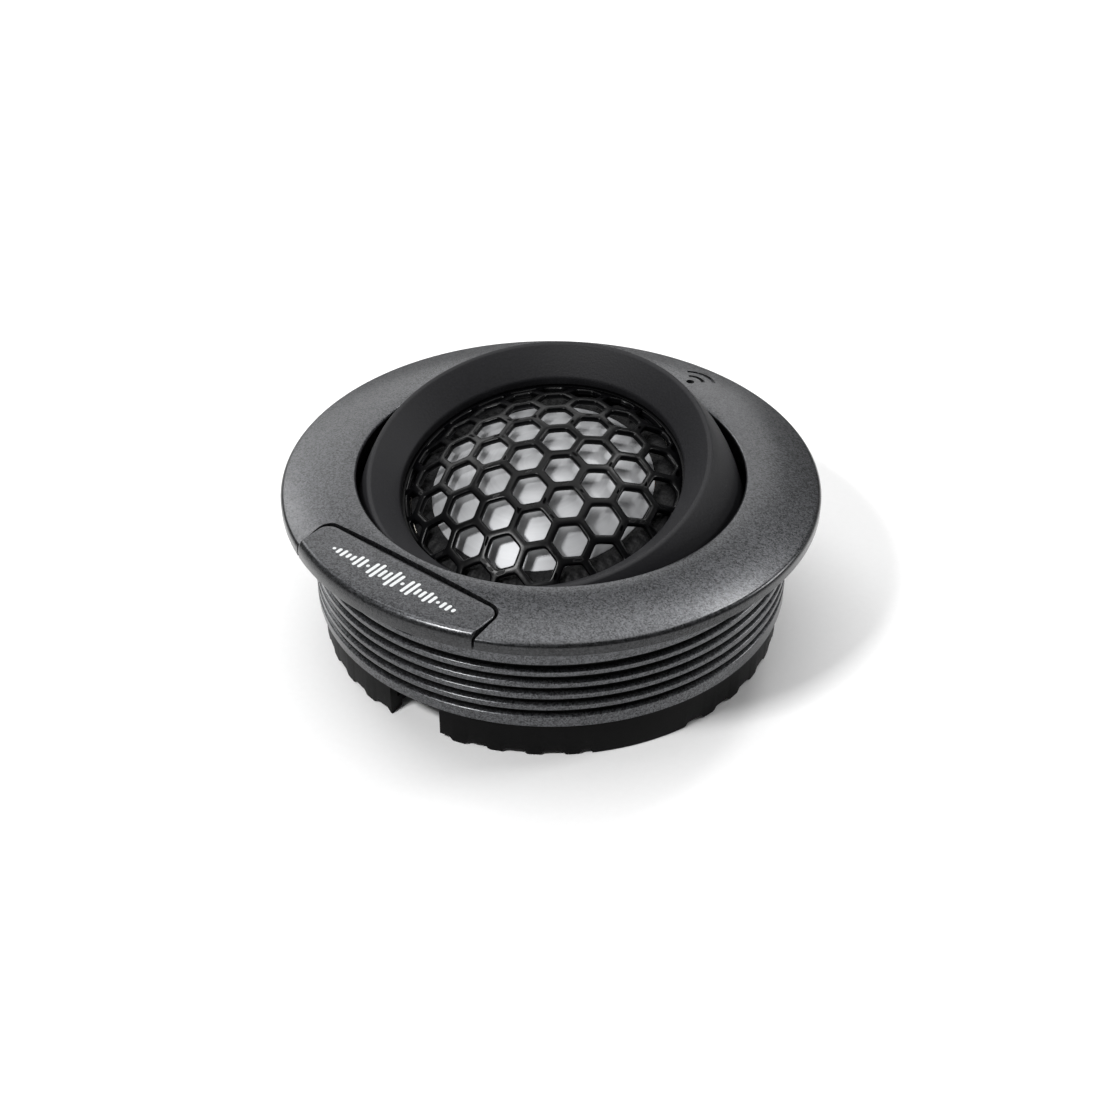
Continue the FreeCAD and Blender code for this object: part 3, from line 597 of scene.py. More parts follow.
# Stainless pins, centreless ground: fine lines round the pin.
GROUND_STAINLESS = Finish(
    "ground_stainless_steel", "#a8a9aa", "#d0d1d2", (0.2, 0.36), 1.0, Lay.TURNED, Centre.HINGE,
    grain_mm=0.12, depth_mm=0.003,
)
# Graphite-loaded polymer washer: dark grey with a greasy lustre.
GRAPHITE_POLYMER = Finish(
    "graphite_loaded_polymer", "#2a2b2d", "#3c3d40", (0.35, 0.5), 0.1, Lay.FLAKE, ior=1.5, grain_mm=0.2,
)
# Closed-cell foam die-cut to a ring: black, full of fine pores.
CUT_FOAM = Finish(
    "die_cut_closed_cell_foam", "#101011", "#2b2b2d", (0.8, 0.95), 0.0, Lay.FLAKE, Centre.CUP,
    grain_mm=0.25, depth_mm=0.04, ior=1.45,
)
# Polycarbonate clamp ring, moulded: black and slightly glossy.
MOULDED_POLYCARBONATE = Finish(
    "moulded_polycarbonate", "#0d0d0f", "#1b1b1e", (0.25, 0.4), 0.0, Lay.TURNED, Centre.CUP, ior=1.58,
    grain_mm=0.5, depth_mm=0.004,
)
# Nickel over a turned steel pot: warm silver with lathe lines.
NICKEL_PLATED = Finish(
    "nickel_plated_turned_steel", "#b3ada2", "#d8d3c9", (0.15, 0.32), 1.0, Lay.TURNED, Centre.CUP,
    grain_mm=0.18, depth_mm=0.004,
)
# Phosphated low-carbon steel plate: dark grey and matt, with a crystalline speckle.
PHOSPHATED_STEEL = Finish(
    "phosphated_steel", "#3b3d3e", "#5d5f60", (0.45, 0.65), 0.7, Lay.FLAKE, Centre.CUP,
    grain_mm=0.15, depth_mm=0.006,
)
# Pressed wool felt: soft dark grey, with fibres lying every way.
PRESSED_FELT = Finish(
    "pressed_wool_felt", "#242326", "#4b494d", (0.9, 1.0), 0.0, Lay.FIBRE, Centre.CUP,
    grain_mm=0.3, depth_mm=0.08, sheen=0.5, ior=1.45,
)
# Polyester wadding: off-white, loose and fluffy.
POLYESTER_WADDING = Finish(
    "polyester_wadding", "#c9c7c2", "#ecebe7", (0.9, 1.0), 0.0, Lay.FIBRE, Centre.CUP,
    grain_mm=0.5, depth_mm=0.15, sheen=0.4, ior=1.5,
)
# Glass-epoxy board: green varnish over a woven glass cloth.
VARNISHED_GLASS_EPOXY = Finish(
    "varnished_glass_epoxy", "#123d22", "#1f5a34", (0.22, 0.35), 0.0, Lay.WOVEN, Centre.CUP, ior=1.55,
    grain_mm=0.5, depth_mm=0.006, coat=0.4,
)
# Hot-tinned brass tags: soft bright grey with a dimpled skin.
TINNED_BRASS = Finish(
    "hot_tinned_brass", "#b5b6b4", "#dcdcd8", (0.2, 0.38), 1.0, grain_mm=0.5, depth_mm=0.02,
)
# Copper wire under polyurethane enamel: deep amber with tight turns.
ENAMELLED_COPPER = Finish(
    "enamelled_copper_wire", "#8a3d16", "#c8743a", (0.2, 0.35), 0.9, Lay.WOUND, Centre.CUP,
    grain_mm=0.14, depth_mm=0.03, coat=0.5,
)
# Polyimide film rolled into a tube: clear amber brown.
POLYIMIDE_FILM = Finish(
    "rolled_polyimide_film", "#7a3f0e", "#a86420", (0.2, 0.3), 0.0, Lay.TURNED, Centre.CUP, ior=1.7,
    grain_mm=0.3, depth_mm=0.003,
)
# Nitrile grommet, pressed in: black rubber with a powdery bloom.
MOULDED_NITRILE = Finish(
    "moulded_nitrile_rubber", "#121213", "#232325", (0.6, 0.8), 0.0, Lay.EVEN, Centre.CUP, ior=1.52,
    grain_mm=0.3, depth_mm=0.01, sheen=0.1,
)
# Smooth white paper sweep under the object, with the faintest fibre.
WHITE_PAPER = Finish(
    "matt_white_paper", "#f1f1f1", "#f7f7f7", (0.85, 0.95), grain_mm=0.6, depth_mm=0.004, mottle_mm=60.0,
)


def dress(
    piece: Piece, finish: Finish, body: str, slot: str, *stands_for: str
) -> Piece:
    """Give a piece its finish, tie it to its body and hide the nodes that it replaces.

    Args:
        piece: the finished mesh.
        finish: what it's made of.
        body: the body that it rides on.
        slot: the record's material slot; not used.
        *stands_for: the CAD nodes that it replaces.

    Returns:
        The same piece.
    """
    piece.data.materials.clear()
    piece.data.materials.append(finish.make())
    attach(piece, body)
    if stands_for:
        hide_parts(*stands_for)
    log.info("%s: %d faces in %s", piece.name, len(piece.data.polygons), finish.name)
    return piece


# ------------------------------------------------------------------ housing


@dataclass
class Housing:
    """The painted housing: a wide flange, a ball-shaped throat and a threaded barrel."""

    flange_r: float = 26.0
    flange_z: float = 15.3
    under_z: float = 14.4
    opening_r: float = 19.0
    opening_z: float = 16.6
    barrel_r: float = 23.3
    register_r: float = 23.6
    register_z: float = 12.75
    bottom_z: float = 3.8
    bore_r: float = 20.6
    ledge_z: float = 10.6
    seat_r: float = 20.13
    pitch: float = 1.32
    thread_start: float = 4.8
    thread_turns: float = 5.5
    thread_depth: float = 0.62
    root: float = 0.35
    mouth: float = 0.8
    runout: float = 0.012
    mark_r: float = 21.6
    mark_azimuth: float = 79.0
    mark_line: float = 0.42
    mark_floor: float = 15.85
    columns: int = 300

    def outline(self) -> np.ndarray:
        """The section from the barrel's top land over the flange and throat to its foot.

        Returns:
            Rows of radius and height.
        """
        above = self.opening_z - PIVOT_Z - 0.2
        corners = [
            (self.barrel_r, self.bottom_z + 0.25),
            (self.register_r, self.under_z - 0.5, -0.5),
            (self.register_r + 0.5, self.under_z),
            (self.flange_r - 0.2, self.under_z),
            (self.flange_r, self.under_z + 0.2),
            (self.flange_r, self.flange_z, 0.5),
            (self.flange_r - 0.42, self.flange_z + 0.46, 34.0),
            (self.opening_r, self.opening_z, 0.3),
            (on_ball(self.seat_r, above), self.opening_z - 0.2, -self.seat_r),
            (on_ball(self.seat_r, self.ledge_z - PIVOT_Z), self.ledge_z),
            (self.bore_r, self.ledge_z),
            (self.bore_r, self.bottom_z),
            (self.barrel_r - 0.25, self.bottom_z),
        ]
        return bent_line(corners)

    def groove(self, across: np.ndarray) -> np.ndarray:
        """Depth of the thread at a distance from the groove's middle.

        The depth is a trapezoid, deep over the root and zero past the mouth, averaged over a
        window of 0.1 mm so that crests and roots are rounded.

        Args:
            across: distances from the groove's middle.

        Returns:
            Depths below the crest.
        """
        window = across[..., None] + np.linspace(-0.05, 0.05, 9)
        slope = (self.mouth - self.root) / 2
        return self.thread_depth * np.clip((self.mouth / 2 - np.abs(window)) / slope, 0, 1).mean(axis=-1)

    def thread(self) -> np.ndarray:
        """The barrel's outer skin as one ribbon that climbs a pitch in each turn.

        At turn angle a and place q across the ribbon, the height is start + pitch a / 2 pi + q,
        held between the barrel's ends, and the radius is the crest less the groove's depth.

        Returns:
            Points across the ribbon by points along it.
        """
        across = np.concatenate([
            np.linspace(-0.66, -0.46, 3), np.linspace(-0.42, -0.12, 8), [0.0],
            np.linspace(0.12, 0.42, 8), np.linspace(0.46, 0.66, 3),
        ]) * (self.pitch / 1.32)
        turns = np.arange(-round(1.2 * self.columns), round(7.6 * self.columns)) / self.columns
        fade_in = smooth_step(turns, 0, self.runout)
        runout = fade_in * smooth_step(-turns, -self.thread_turns, self.runout - self.thread_turns)
        height = self.thread_start + self.pitch * turns[None] + across[:, None]
        height = np.clip(height, self.bottom_z + 0.25, self.under_z - 0.5)
        land = (self.register_r - self.barrel_r) * smooth_step(height, self.register_z - 0.1, self.register_z)
        radius = self.barrel_r + land - self.groove(across)[:, None] * runout[None]
        return revolve(radius, height, math.pi / 2 + 2 * np.pi * turns[None])

    def badge_tools(self) -> list[Shell]:
        """The pocket for the badge: a floor in the flange, and the flange's rim cut right away.

        Returns:
            The two solids to carve away.
        """
        badge, pocket = BadgePlate(), Shell()
        reach = self.flange_r + 2
        plan = turned(badge.outline(BADGE_GAP, reach), badge.azimuth)
        pocket.prism(plan, badge.floor_z, ABOVE_ALL_Z)
        half, behind = badge.half_width + BADGE_GAP, badge.skirt_r - BADGE_GAP
        edge = math.asin(half / behind)
        angle = np.linspace(-math.pi / 2 - edge, -math.pi / 2 + edge, 40)
        inner = behind * np.column_stack([np.cos(angle), np.sin(angle)])
        rim = Shell()
        block = np.vstack([inner, [(half, -reach), (-half, -reach)]])
        rim.prism(turned(block, badge.azimuth), self.under_z - 1.2, badge.floor_z + 0.45)
        return [pocket, rim]

    def mark_tool(self) -> Shell:
        """A dot and two sound arcs for the flange's engraving, as upright solids.

        Returns:
            The dot and the arcs, in one shell.
        """
        tool = Shell()
        away = math.radians(self.mark_azimuth)
        centre = self.mark_r * np.array([math.cos(away), math.sin(away)])
        dot = turn_angles(32)
        circle = self.mark_line * np.column_stack([np.cos(dot), np.sin(dot)])
        tool.prism(centre + circle, self.mark_floor, ABOVE_ALL_Z)
        for radius in (1.35, 2.45):
            sweep = np.radians(np.linspace(34, 124, 40))
            ring = np.column_stack([np.cos(sweep), np.sin(sweep)])
            outer, inner = radius + self.mark_line / 2, radius - self.mark_line / 2
            band = np.vstack([ring * outer, ring[::-1] * inner])
            tool.prism(centre + band, self.mark_floor, ABOVE_ALL_Z)
        return tool

    def rib(self) -> Shell:
        """The stop rib inside the bore, which ends the cup's turn.

        Returns:
            The rib's shell.
        """
        rib = Shell()
        away, half = math.radians(60), 1.0
        out, side = np.array([math.cos(away), math.sin(away)]), np.array([-math.sin(away), math.cos(away)])
        low, high = self.bore_r - 0.5, self.bore_r + 0.4
        corners = ((low, -half), (high, -half), (high, half), (low, half))
        box = np.array([out * far + side * off for far, off in corners])
        rib.prism(box, self.bottom_z, 5.0)
        return rib

    def build(self) -> list[Piece]:
        """Make the housing and its rib, and dress them.

        Returns:
            The housing and its rib.
        """
        shell = Shell()
        outline = self.outline()
        angles = turn_angles(self.columns, 90)
        skin = np.roll(outline, -1, axis=0)
        shell.grid(revolve(skin[:, :1], skin[:, 1:], angles[None]), wrap_rows=False)
        shell.grid(self.thread(), wrap_rows=False, wrap_columns=False)
        body = shell.make("housing_painted")
        for tool in [*self.badge_tools(), self.mark_tool()]:
            carve(body, tool)
        rib = self.rib().make("housing_stop_rib")
        dress(rib, SPRAYED_METALLIC_PAINT, "housing_body", "housing")
        return [dress(body, SPRAYED_METALLIC_PAINT, "housing_body", "housing", "housing"), rib]


@dataclass
class BadgePlate:
    """The inlaid plate at the front: flat top, rolled outer edge, skirt down the flange's rim."""

    half_width: float = 10.5
    inner_y: float = 19.8
    azimuth: float = -8.0
    corner: float = 1.3
    top_z: float = 16.25
    floor_z: float = 14.95
    skirt_r: float = 24.4
    edge: float = 0.14

    def outline(self, gap: float, reach: float) -> np.ndarray:
        """The plate's plan: straight inner edge and ends, with two rounded inner corners.

        Args:
            gap: clearance added all round.
            reach: how far out the plan runs.

        Returns:
            The plan's points.
        """
        half, inner = self.half_width + gap, self.inner_y - gap
        return bent_line([
            (-half, -reach),
            (half, -reach),
            (half, -inner - self.corner, self.corner),
            (half - self.corner, -inner),
            (self.corner - half, -inner, self.corner),
            (-half, -inner - self.corner),
        ], step=10.0)

    def surface(self) -> np.ndarray:
        """The plate as sections at places x along it.

        Each section is a closed loop of (y, z). Its outer points lie on circles about the
        housing's axis, y = -sqrt(r^2 - x^2), and near both ends it draws in by the edge's
        rounding, edge (1 - cos).

        Returns:
            Sections by points of a section.
        """
        bend = np.linspace(0, np.pi / 2, 7)
        ends = self.half_width - self.edge * (1 - np.sin(bend))
        draw = self.edge * (1 - np.cos(bend))
        inset = np.concatenate([draw[::-1], np.zeros(60), draw])
        middle = np.sin(np.linspace(-1, 1, 62)[1:-1] * np.pi / 2) * ends[0]
        x = np.concatenate([-ends[::-1], middle, ends])[:, None]
        inset = inset[:, None]
        past = np.clip(np.abs(x) - (self.half_width - self.corner), 0, self.corner)
        inner = self.inner_y + self.corner - np.sqrt(self.corner**2 - past**2)
        turn = np.linspace(0, np.pi / 2, 5)[None]
        roll = np.linspace(0, 1, 12)[None]
        top = self.top_z - inset
        hook_r = 25.3 + 0.7 * np.sin(roll * np.pi / 2)
        hook_z = 15.25 + (top - 15.25) * np.cos(roll * np.pi / 2)
        wall_r = np.array([[26.0, 25.97, 25.75, self.skirt_r, self.skirt_r]])
        wall_z = np.array([[14.7, 14.5, 14.4, 14.4, self.floor_z]])
        rim = inner + self.edge * (1 - np.cos(turn)) + inset
        lip_z = top - self.edge * (1 - np.sin(turn))
        outer_y = np.sqrt(np.hstack([hook_r, wall_r]) ** 2 - x**2)
        flat = rim[:, -1:] + (outer_y[:, :1] - rim[:, -1:]) * np.linspace(0.1, 0.9, 9)[None]
        y = np.hstack([inner + inset, rim, flat, outer_y])
        z = np.hstack([np.full_like(x, self.floor_z), lip_z, np.broadcast_to(top, flat.shape), hook_z,
                       np.broadcast_to(wall_z, (len(x), 5))])
        return np.stack([np.broadcast_to(x, y.shape), -y, z], axis=-1)

    def bars(self) -> Shell:
        """A plain printed sound burst: upright bars whose lengths swell and die away.

        Bar i of 25 is a stadium of width 0.34 at x = 0.6 (i - 12), as long as
        0.34 + 2.1 |sin(0.9 i)| e^(-(i-12)^2 / 90).

        Returns:
            The bars, in one shell.
        """
        ink = Shell()
        place = np.arange(25) - 12
        lengths = 0.34 + 2.1 * np.abs(np.sin(0.9 * (place + 12))) * np.exp(-(place**2) / 90)
        half_turn = np.radians(np.linspace(0, 180, 9))
        cap = 0.17 * np.column_stack([np.cos(half_turn), np.sin(half_turn)])
        for at, length in zip(place, lengths):
            up, down = cap + (0, length / 2 - 0.17), -cap - (0, length / 2 - 0.17)
            bar = turned(np.vstack([up, down]) + (0.6 * at, -22.3), self.azimuth)
            ink.prism(bar, self.top_z - 0.01, self.top_z + 0.012)
        return ink

    def build(self) -> list[Piece]:
        """Make the plate and its print, and dress them.

        Returns:
            The plate and its print.
        """
        plate = Shell()
        sections = turned(self.surface(), self.azimuth)
        plate.grid(sections, wrap_rows=False)
        plate.face(sections[0])
        plate.face(sections[-1])
        body, ink = plate.make("badge_plate_painted"), self.bars().make("badge_print")
        return [
            dress(body, SPRAYED_METALLIC_PAINT, "housing_body", "badge_plate", "badge_plate"),
            dress(ink, PAD_PRINTED_SILVER, "housing_body", "badge_plate"),
        ]


@dataclass
class BaseRing:
    """The black foot ring: L-section, rounded teeth round its foot, open where the lead leaves."""

    inner_r: float = 18.2
    wall_r: float = 21.75
    outer_r: float = 22.75
    shelf_low: float = 0.6
    shelf_high: float = 1.45
    top_z: float = 3.8
    tooth: float = 0.5
    gap: float = 5.7
    gap_azimuth: float = -93.0

    def foot(self, angle: np.ndarray) -> np.ndarray:
        """Height of the foot's edge at an angle: notches 5 degrees wide, 9 degrees apart, in two arcs.

        Args:
            angle: angles about the housing's axis, in radians.

        Returns:
            Heights from 0 on a tooth to the tooth's height in a notch.
        """
        degrees = np.degrees(angle) % 360
        rise = np.zeros_like(degrees)
        for first, last in ((-22.5, 127.5), (157.5, 307.5)):
            along = (degrees - first) % 360
            off = np.abs((along + 4.5) % 9 - 4.5)
            inside = (along < last - first + 3) | (along > 357)
            rise = np.maximum(rise, inside * (1 - smooth_step(off, 2.0, 3.0)))
        return self.tooth * rise

    def build(self) -> list[Piece]:
        """Make the ring as an open sweep with its two end faces, and dress it.

        A point at radius r starts the sweep asin(gap / 2r) past the gap's middle, so that the
        gap's walls are parallel.

        Returns:
            The ring, as a list of one.
        """
        outline = soften(bent_line([
            (self.inner_r, self.shelf_low), (self.wall_r - 0.6, self.shelf_low), (self.wall_r - 0.6, 0.0),
            (self.outer_r, 0.0), (self.outer_r, self.top_z), (self.wall_r, self.top_z),
            (self.wall_r, self.shelf_high), (self.inner_r, self.shelf_high),
        ]), 0.18)
        radius, height = outline[None, :, 0], outline[None, :, 1]
        skip = np.arcsin(self.gap / 2 / radius)
        share = np.linspace(0, 1, 721)[:, None]
        angle = math.radians(self.gap_azimuth) + skip + share * (2 * np.pi - 2 * skip)
        lifted = height + self.foot(angle) * np.clip(1 - height / (self.tooth * 2.2), 0, 1)
        height = np.where(radius > self.wall_r - 0.75, lifted, height)
        sweep = revolve(radius, height, angle)
        ring = Shell()
        ring.grid(sweep, wrap_rows=False)
        ring.face(sweep[0])
        ring.face(sweep[-1])
        piece = ring.make("base_ring_moulded")
        return [dress(piece, MOULDED_NYLON, "housing_body", "base_ring", "base_ring")]


# ------------------------------------------------------------------ swivel cup


@dataclass
class SwivelBezel:
    """The cup's front shell: ball-shaped skirt, soft rim and a funnel down to the guard."""

    ball_r: float = 19.3
    inner_ball_r: float = 18.2
    skirt_h: float = 1.2
    rim_h: float = 9.95
    rim_inner_r: float = 16.0
    funnel_r: float = 13.7
    funnel_h: float = 7.6
    seat_h: float = 6.6
    tube_r: float = 16.6
    bore_r: float = 15.3
    split_h: float = 2.8
    cavity_h: float = 5.9
    notch_half: float = 4.8
    notch_h: float = 4.2
    skirt_r: float = 18.7

    def build(self) -> list[Piece]:
        """Turn the section about the cup's axis, with a notch in the skirt over each hinge pin.

        In a notch the skirt's points rise to the notch's top along their own ball,
        r = sqrt(R^2 - h^2).

        Returns:
            The bezel, as a list of one.
        """
        outline = soften(bent_line([
            (self.bore_r, self.split_h),
            (self.tube_r, self.split_h),
            (self.tube_r, self.cavity_h),
            (on_ball(self.inner_ball_r, self.cavity_h), self.cavity_h, -self.inner_ball_r),
            (on_ball(self.inner_ball_r, self.skirt_h), self.skirt_h),
            (on_ball(self.ball_r, self.skirt_h), self.skirt_h, self.ball_r),
            (on_ball(self.ball_r, self.rim_h), self.rim_h, 0.38),
            (self.rim_inner_r, self.rim_h),
            (self.funnel_r, self.funnel_h),
            (self.funnel_r, self.seat_h),
            (self.bore_r, self.seat_h),
        ], step=4.0), 0.22)
        radius, height = outline[None, :, 0], outline[None, :, 1]
        angle = turn_angles(300)[:, None]
        ball = np.hypot(radius, height)
        beside = np.abs(np.sin(angle)) * self.skirt_r < self.notch_half
        notched = beside & (radius > self.tube_r + 0.2) & (height < self.notch_h)
        height = np.where(notched, self.notch_h, height)
        radius = np.where(notched, np.sqrt(ball**2 - self.notch_h**2), radius)
        shell = Shell()
        shell.grid(in_cup(revolve(radius, height, angle)))
        piece = shell.make("swivel_bezel_moulded")
        return [dress(piece, SPARKED_ABS, "swivel_cup", "swivel_bezel", "swivel_bezel")]


@dataclass
class Guard:
    """The domed honeycomb guard: rounded steel webs round six-sided holes, with a flat rim."""

    dome_r: float = 22.0
    top_h: float = 11.2
    thickness: float = 0.6
    edge_h: float = 6.6
    rim_low: float = 6.05
    rim_r: float = 15.2
    pitch: float = 3.82
    web: float = 0.84
    azimuth: float = 34.6
    shift: Pair = (1.08, 2.40)
    side_steps: int = 8

    def reach(self, radius: float) -> float:
        """Arc length on the dome from its top to a radius, R asin(r / R)."""
        return self.dome_r * math.asin(radius / self.dome_r)

    def on_dome(self, flat: np.ndarray, drop: np.ndarray) -> np.ndarray:
        """Wrap flat places over the dome: arc length from the top becomes the lean angle s / R.

        Args:
            flat: x and y on the unrolled sheet.
            drop: depth below the dome's outer face.

        Returns:
            Points in the cup's own frame.
        """
        away = np.maximum(np.linalg.norm(flat, axis=-1), 1e-9)
        lean = away / self.dome_r
        radius = (self.dome_r - drop) * np.sin(lean)
        height = self.top_h - self.dome_r + (self.dome_r - drop) * np.cos(lean)
        return np.concatenate([flat / away[..., None] * radius[..., None], height[..., None]], axis=-1)

    def centres(self, limit: float) -> np.ndarray:
        """Middles of the cells on a six-sided lattice, up to a distance from the top.

        Args:
            limit: the greatest distance, in millimetres.

        Returns:
            Rows of x and y.
        """
        along = math.radians(self.azimuth)
        column, row = np.meshgrid(np.arange(-9, 10), np.arange(-9, 10), indexing="ij")
        across = column * self.pitch * math.sqrt(3) / 2
        up = (row + (column % 2) / 2) * self.pitch
        x = self.shift[0] + across * math.cos(along) - up * math.sin(along)
        y = self.shift[1] + across * math.sin(along) + up * math.cos(along)
        middles = np.stack([x, y], axis=-1).reshape(-1, 2)
        return middles[np.linalg.norm(middles, axis=1) < limit]

    def boundary(self, middles: np.ndarray, limit: float) -> np.ndarray:
        """Each cell's outline along the middles of its webs, held inside a circle.

        Sides run from corner to corner in even steps. The part of a side past the circle closes
        on the point where it crosses, and a side wholly outside is drawn in along its ray.

        Args:
            middles: the cells' middles.
            limit: the circle's radius.

        Returns:
            Cells by outline points by 2.
        """
        angles = math.radians(self.azimuth) + np.radians(60) * np.arange(7)
        corner = self.pitch / math.sqrt(3) * np.column_stack([np.cos(angles), np.sin(angles)])
        corners = middles[:, None] + corner
        first, step = corners[:, :-1, None], np.diff(corners, axis=1)[:, :, None]
        share = (np.arange(self.side_steps) / self.side_steps)[None, None, :]
        a, b = (step**2).sum(-1), 2 * (first * step).sum(-1)
        c = (first**2).sum(-1) - limit**2
        under = b**2 - 4 * a * c
        root = np.sqrt(np.maximum(under, 0))
        low, high = np.clip((-b - root) / (2 * a), 0, 1), np.clip((-b + root) / (2 * a), 0, 1)
        crosses = (under > 0) & (high > low)
        share = np.where(crosses, np.clip(share, low, high), share)
        points = (first + share[..., None] * step).reshape(len(middles), -1, 2)
        over = np.linalg.norm(points, axis=-1, keepdims=True)
        return points * np.minimum(1, limit / over)

    def build(self) -> list[Piece]:
        """Carry the web's rounded section round every hole, add the rim, and dress the guard.

        Along the ray from a cell's middle, the hole's edge is the soft minimum
        (sum d^-20)^(-1/20) of its distances to six sides and the rim's circle.

        Returns:
            The guard, as a list of one.
        """
        limit, hole_limit = self.reach(13.46), self.reach(13.3)
        middles = self.centres(limit + 0.45 * self.pitch)
        outline = self.boundary(middles, limit)
        spread = np.linalg.norm(outline.max(axis=1) - outline.min(axis=1), axis=1)
        outline, middles = outline[spread > 0.6], middles[spread > 0.6]
        heart = outline.mean(axis=1)
        ray = outline - heart[:, None]
        far = np.linalg.norm(ray, axis=-1)
        aim = ray / np.maximum(far, 1e-9)[..., None]
        normals = math.radians(self.azimuth + 30) + np.radians(60) * np.arange(6)
        normals = np.column_stack([np.cos(normals), np.sin(normals)])
        room = (self.pitch - self.web) / 2 - np.einsum("sk,ck->cs", normals, heart - middles)
        facing = np.einsum("cpk,sk->cps", aim, normals)
        side = np.where(facing > 1e-3, np.maximum(room, 1e-3)[:, None] / np.maximum(facing, 1e-3), 1e3)
        towards = np.einsum("cpk,ck->cp", aim, heart)
        inside = np.maximum(hole_limit**2 - (heart**2).sum(-1), 0)[:, None]
        circle = -towards + np.sqrt(towards**2 + inside)
        near = ((side**-20.0).sum(axis=-1) + np.maximum(circle, 1e-3) ** -20.0) ** (-1 / 20)
        solid = (near.min(axis=1) < 0.22) | (room.min(axis=1) < 0.15)
        near = np.where(solid[:, None], 0, np.minimum(near, far * 0.98))
        land = np.minimum(far - near, 0.26)
        back = np.array([9, 1, 0.55, 0.25, 0.06, 0, 0, 0.12, 0.5, 9])
        drop = np.array([0, 0, 0.02, 0.07, 0.14, 0.22, 0.42, 0.52, 0.6, 0.6])
        guard = Shell()
        for cell in range(len(outline)):
            depth = np.where(solid[cell] & (drop < 0.3), 0, drop)
            distance = np.minimum(near[cell] + back[:, None] * land[cell] * 0.95, far[cell])
            flat = heart[cell] + aim[cell] * distance[..., None]
            guard.grid(in_cup(self.on_dome(flat, np.broadcast_to(depth[:, None], distance.shape))))
        rim = soften(bent_line([
            (13.25, self.edge_h - 0.12), (13.46, self.edge_h), (self.rim_r, self.edge_h),
            (self.rim_r, self.rim_low), (13.2, self.rim_low),
        ]), 0.08)
        guard.grid(in_cup(revolve(rim[None, :, 0], rim[None, :, 1], turn_angles(240)[:, None])))
        return [dress(guard.make("grille_enamelled", 50), BAKED_ENAMEL, "swivel_cup", "grille", "grille")]


@dataclass
class DomeAndSurround:
    """The moving dome and the ribbed cloth roll that carries it."""

    edge_r: float = 10.8
    edge_h: float = 6.35
    height: float = 3.4
    wall: float = 0.2
    roll_start: float = 10.85
    roll_end: float = 12.88
    roll_low: float = 6.05
    rise: float = 0.25
    ribs: int = 90

    def dome(self) -> Shell:
        """Two ball caps a wall apart: r = R sin a, h = top - R (1 - cos a), R = (e^2 + t^2) / 2t.

        Returns:
            The dome's shell.
        """
        ball = (self.edge_r**2 + self.height**2) / (2 * self.height)
        lean = np.linspace(0, math.asin(self.edge_r / ball), 40)
        radius, fall = ball * np.sin(lean), ball * (1 - np.cos(lean))
        top = self.edge_h + self.height
        radius = np.concatenate([radius, radius[::-1]])
        height = np.concatenate([top - fall, (top - self.wall - fall)[::-1]])
        cap = Shell()
        cap.grid(in_cup(revolve(radius[None], height[None], turn_angles(240)[:, None])), wrap_columns=False)
        return cap

    def roll(self) -> Shell:
        """A shallow roll with radial ribs: its height adds rise sin(pi s) and 0.06 cos(n a) sin(pi s).

        Returns:
            The surround's shell.
        """
        share = np.linspace(0, 1, 18)[None]
        angle = turn_angles(720)[:, None]
        bow = np.sin(np.pi * share)
        top = self.edge_h + (self.roll_low - self.edge_h) * share + self.rise * bow
        top = top + 0.06 * np.cos(self.ribs * angle) * bow
        under = top - self.wall
        radius = np.broadcast_to(self.roll_start + (self.roll_end - self.roll_start) * share, top.shape)
        shell = Shell()
        radius, height = np.hstack([radius, radius[:, ::-1]]), np.hstack([top, under[:, ::-1]])
        shell.grid(in_cup(revolve(radius, height, angle)))
        return shell

    def build(self) -> list[Piece]:
        """Make the dome and the roll, and dress them.

        Returns:
            The dome and the surround.
        """
        return [
            dress(self.dome().make("dome_anodised"), ANODISED_FOIL, "diaphragm", "dome", "dome"),
            dress(self.roll().make("surround_cloth"), SEALED_CLOTH, "diaphragm", "surround", "surround"),
        ]


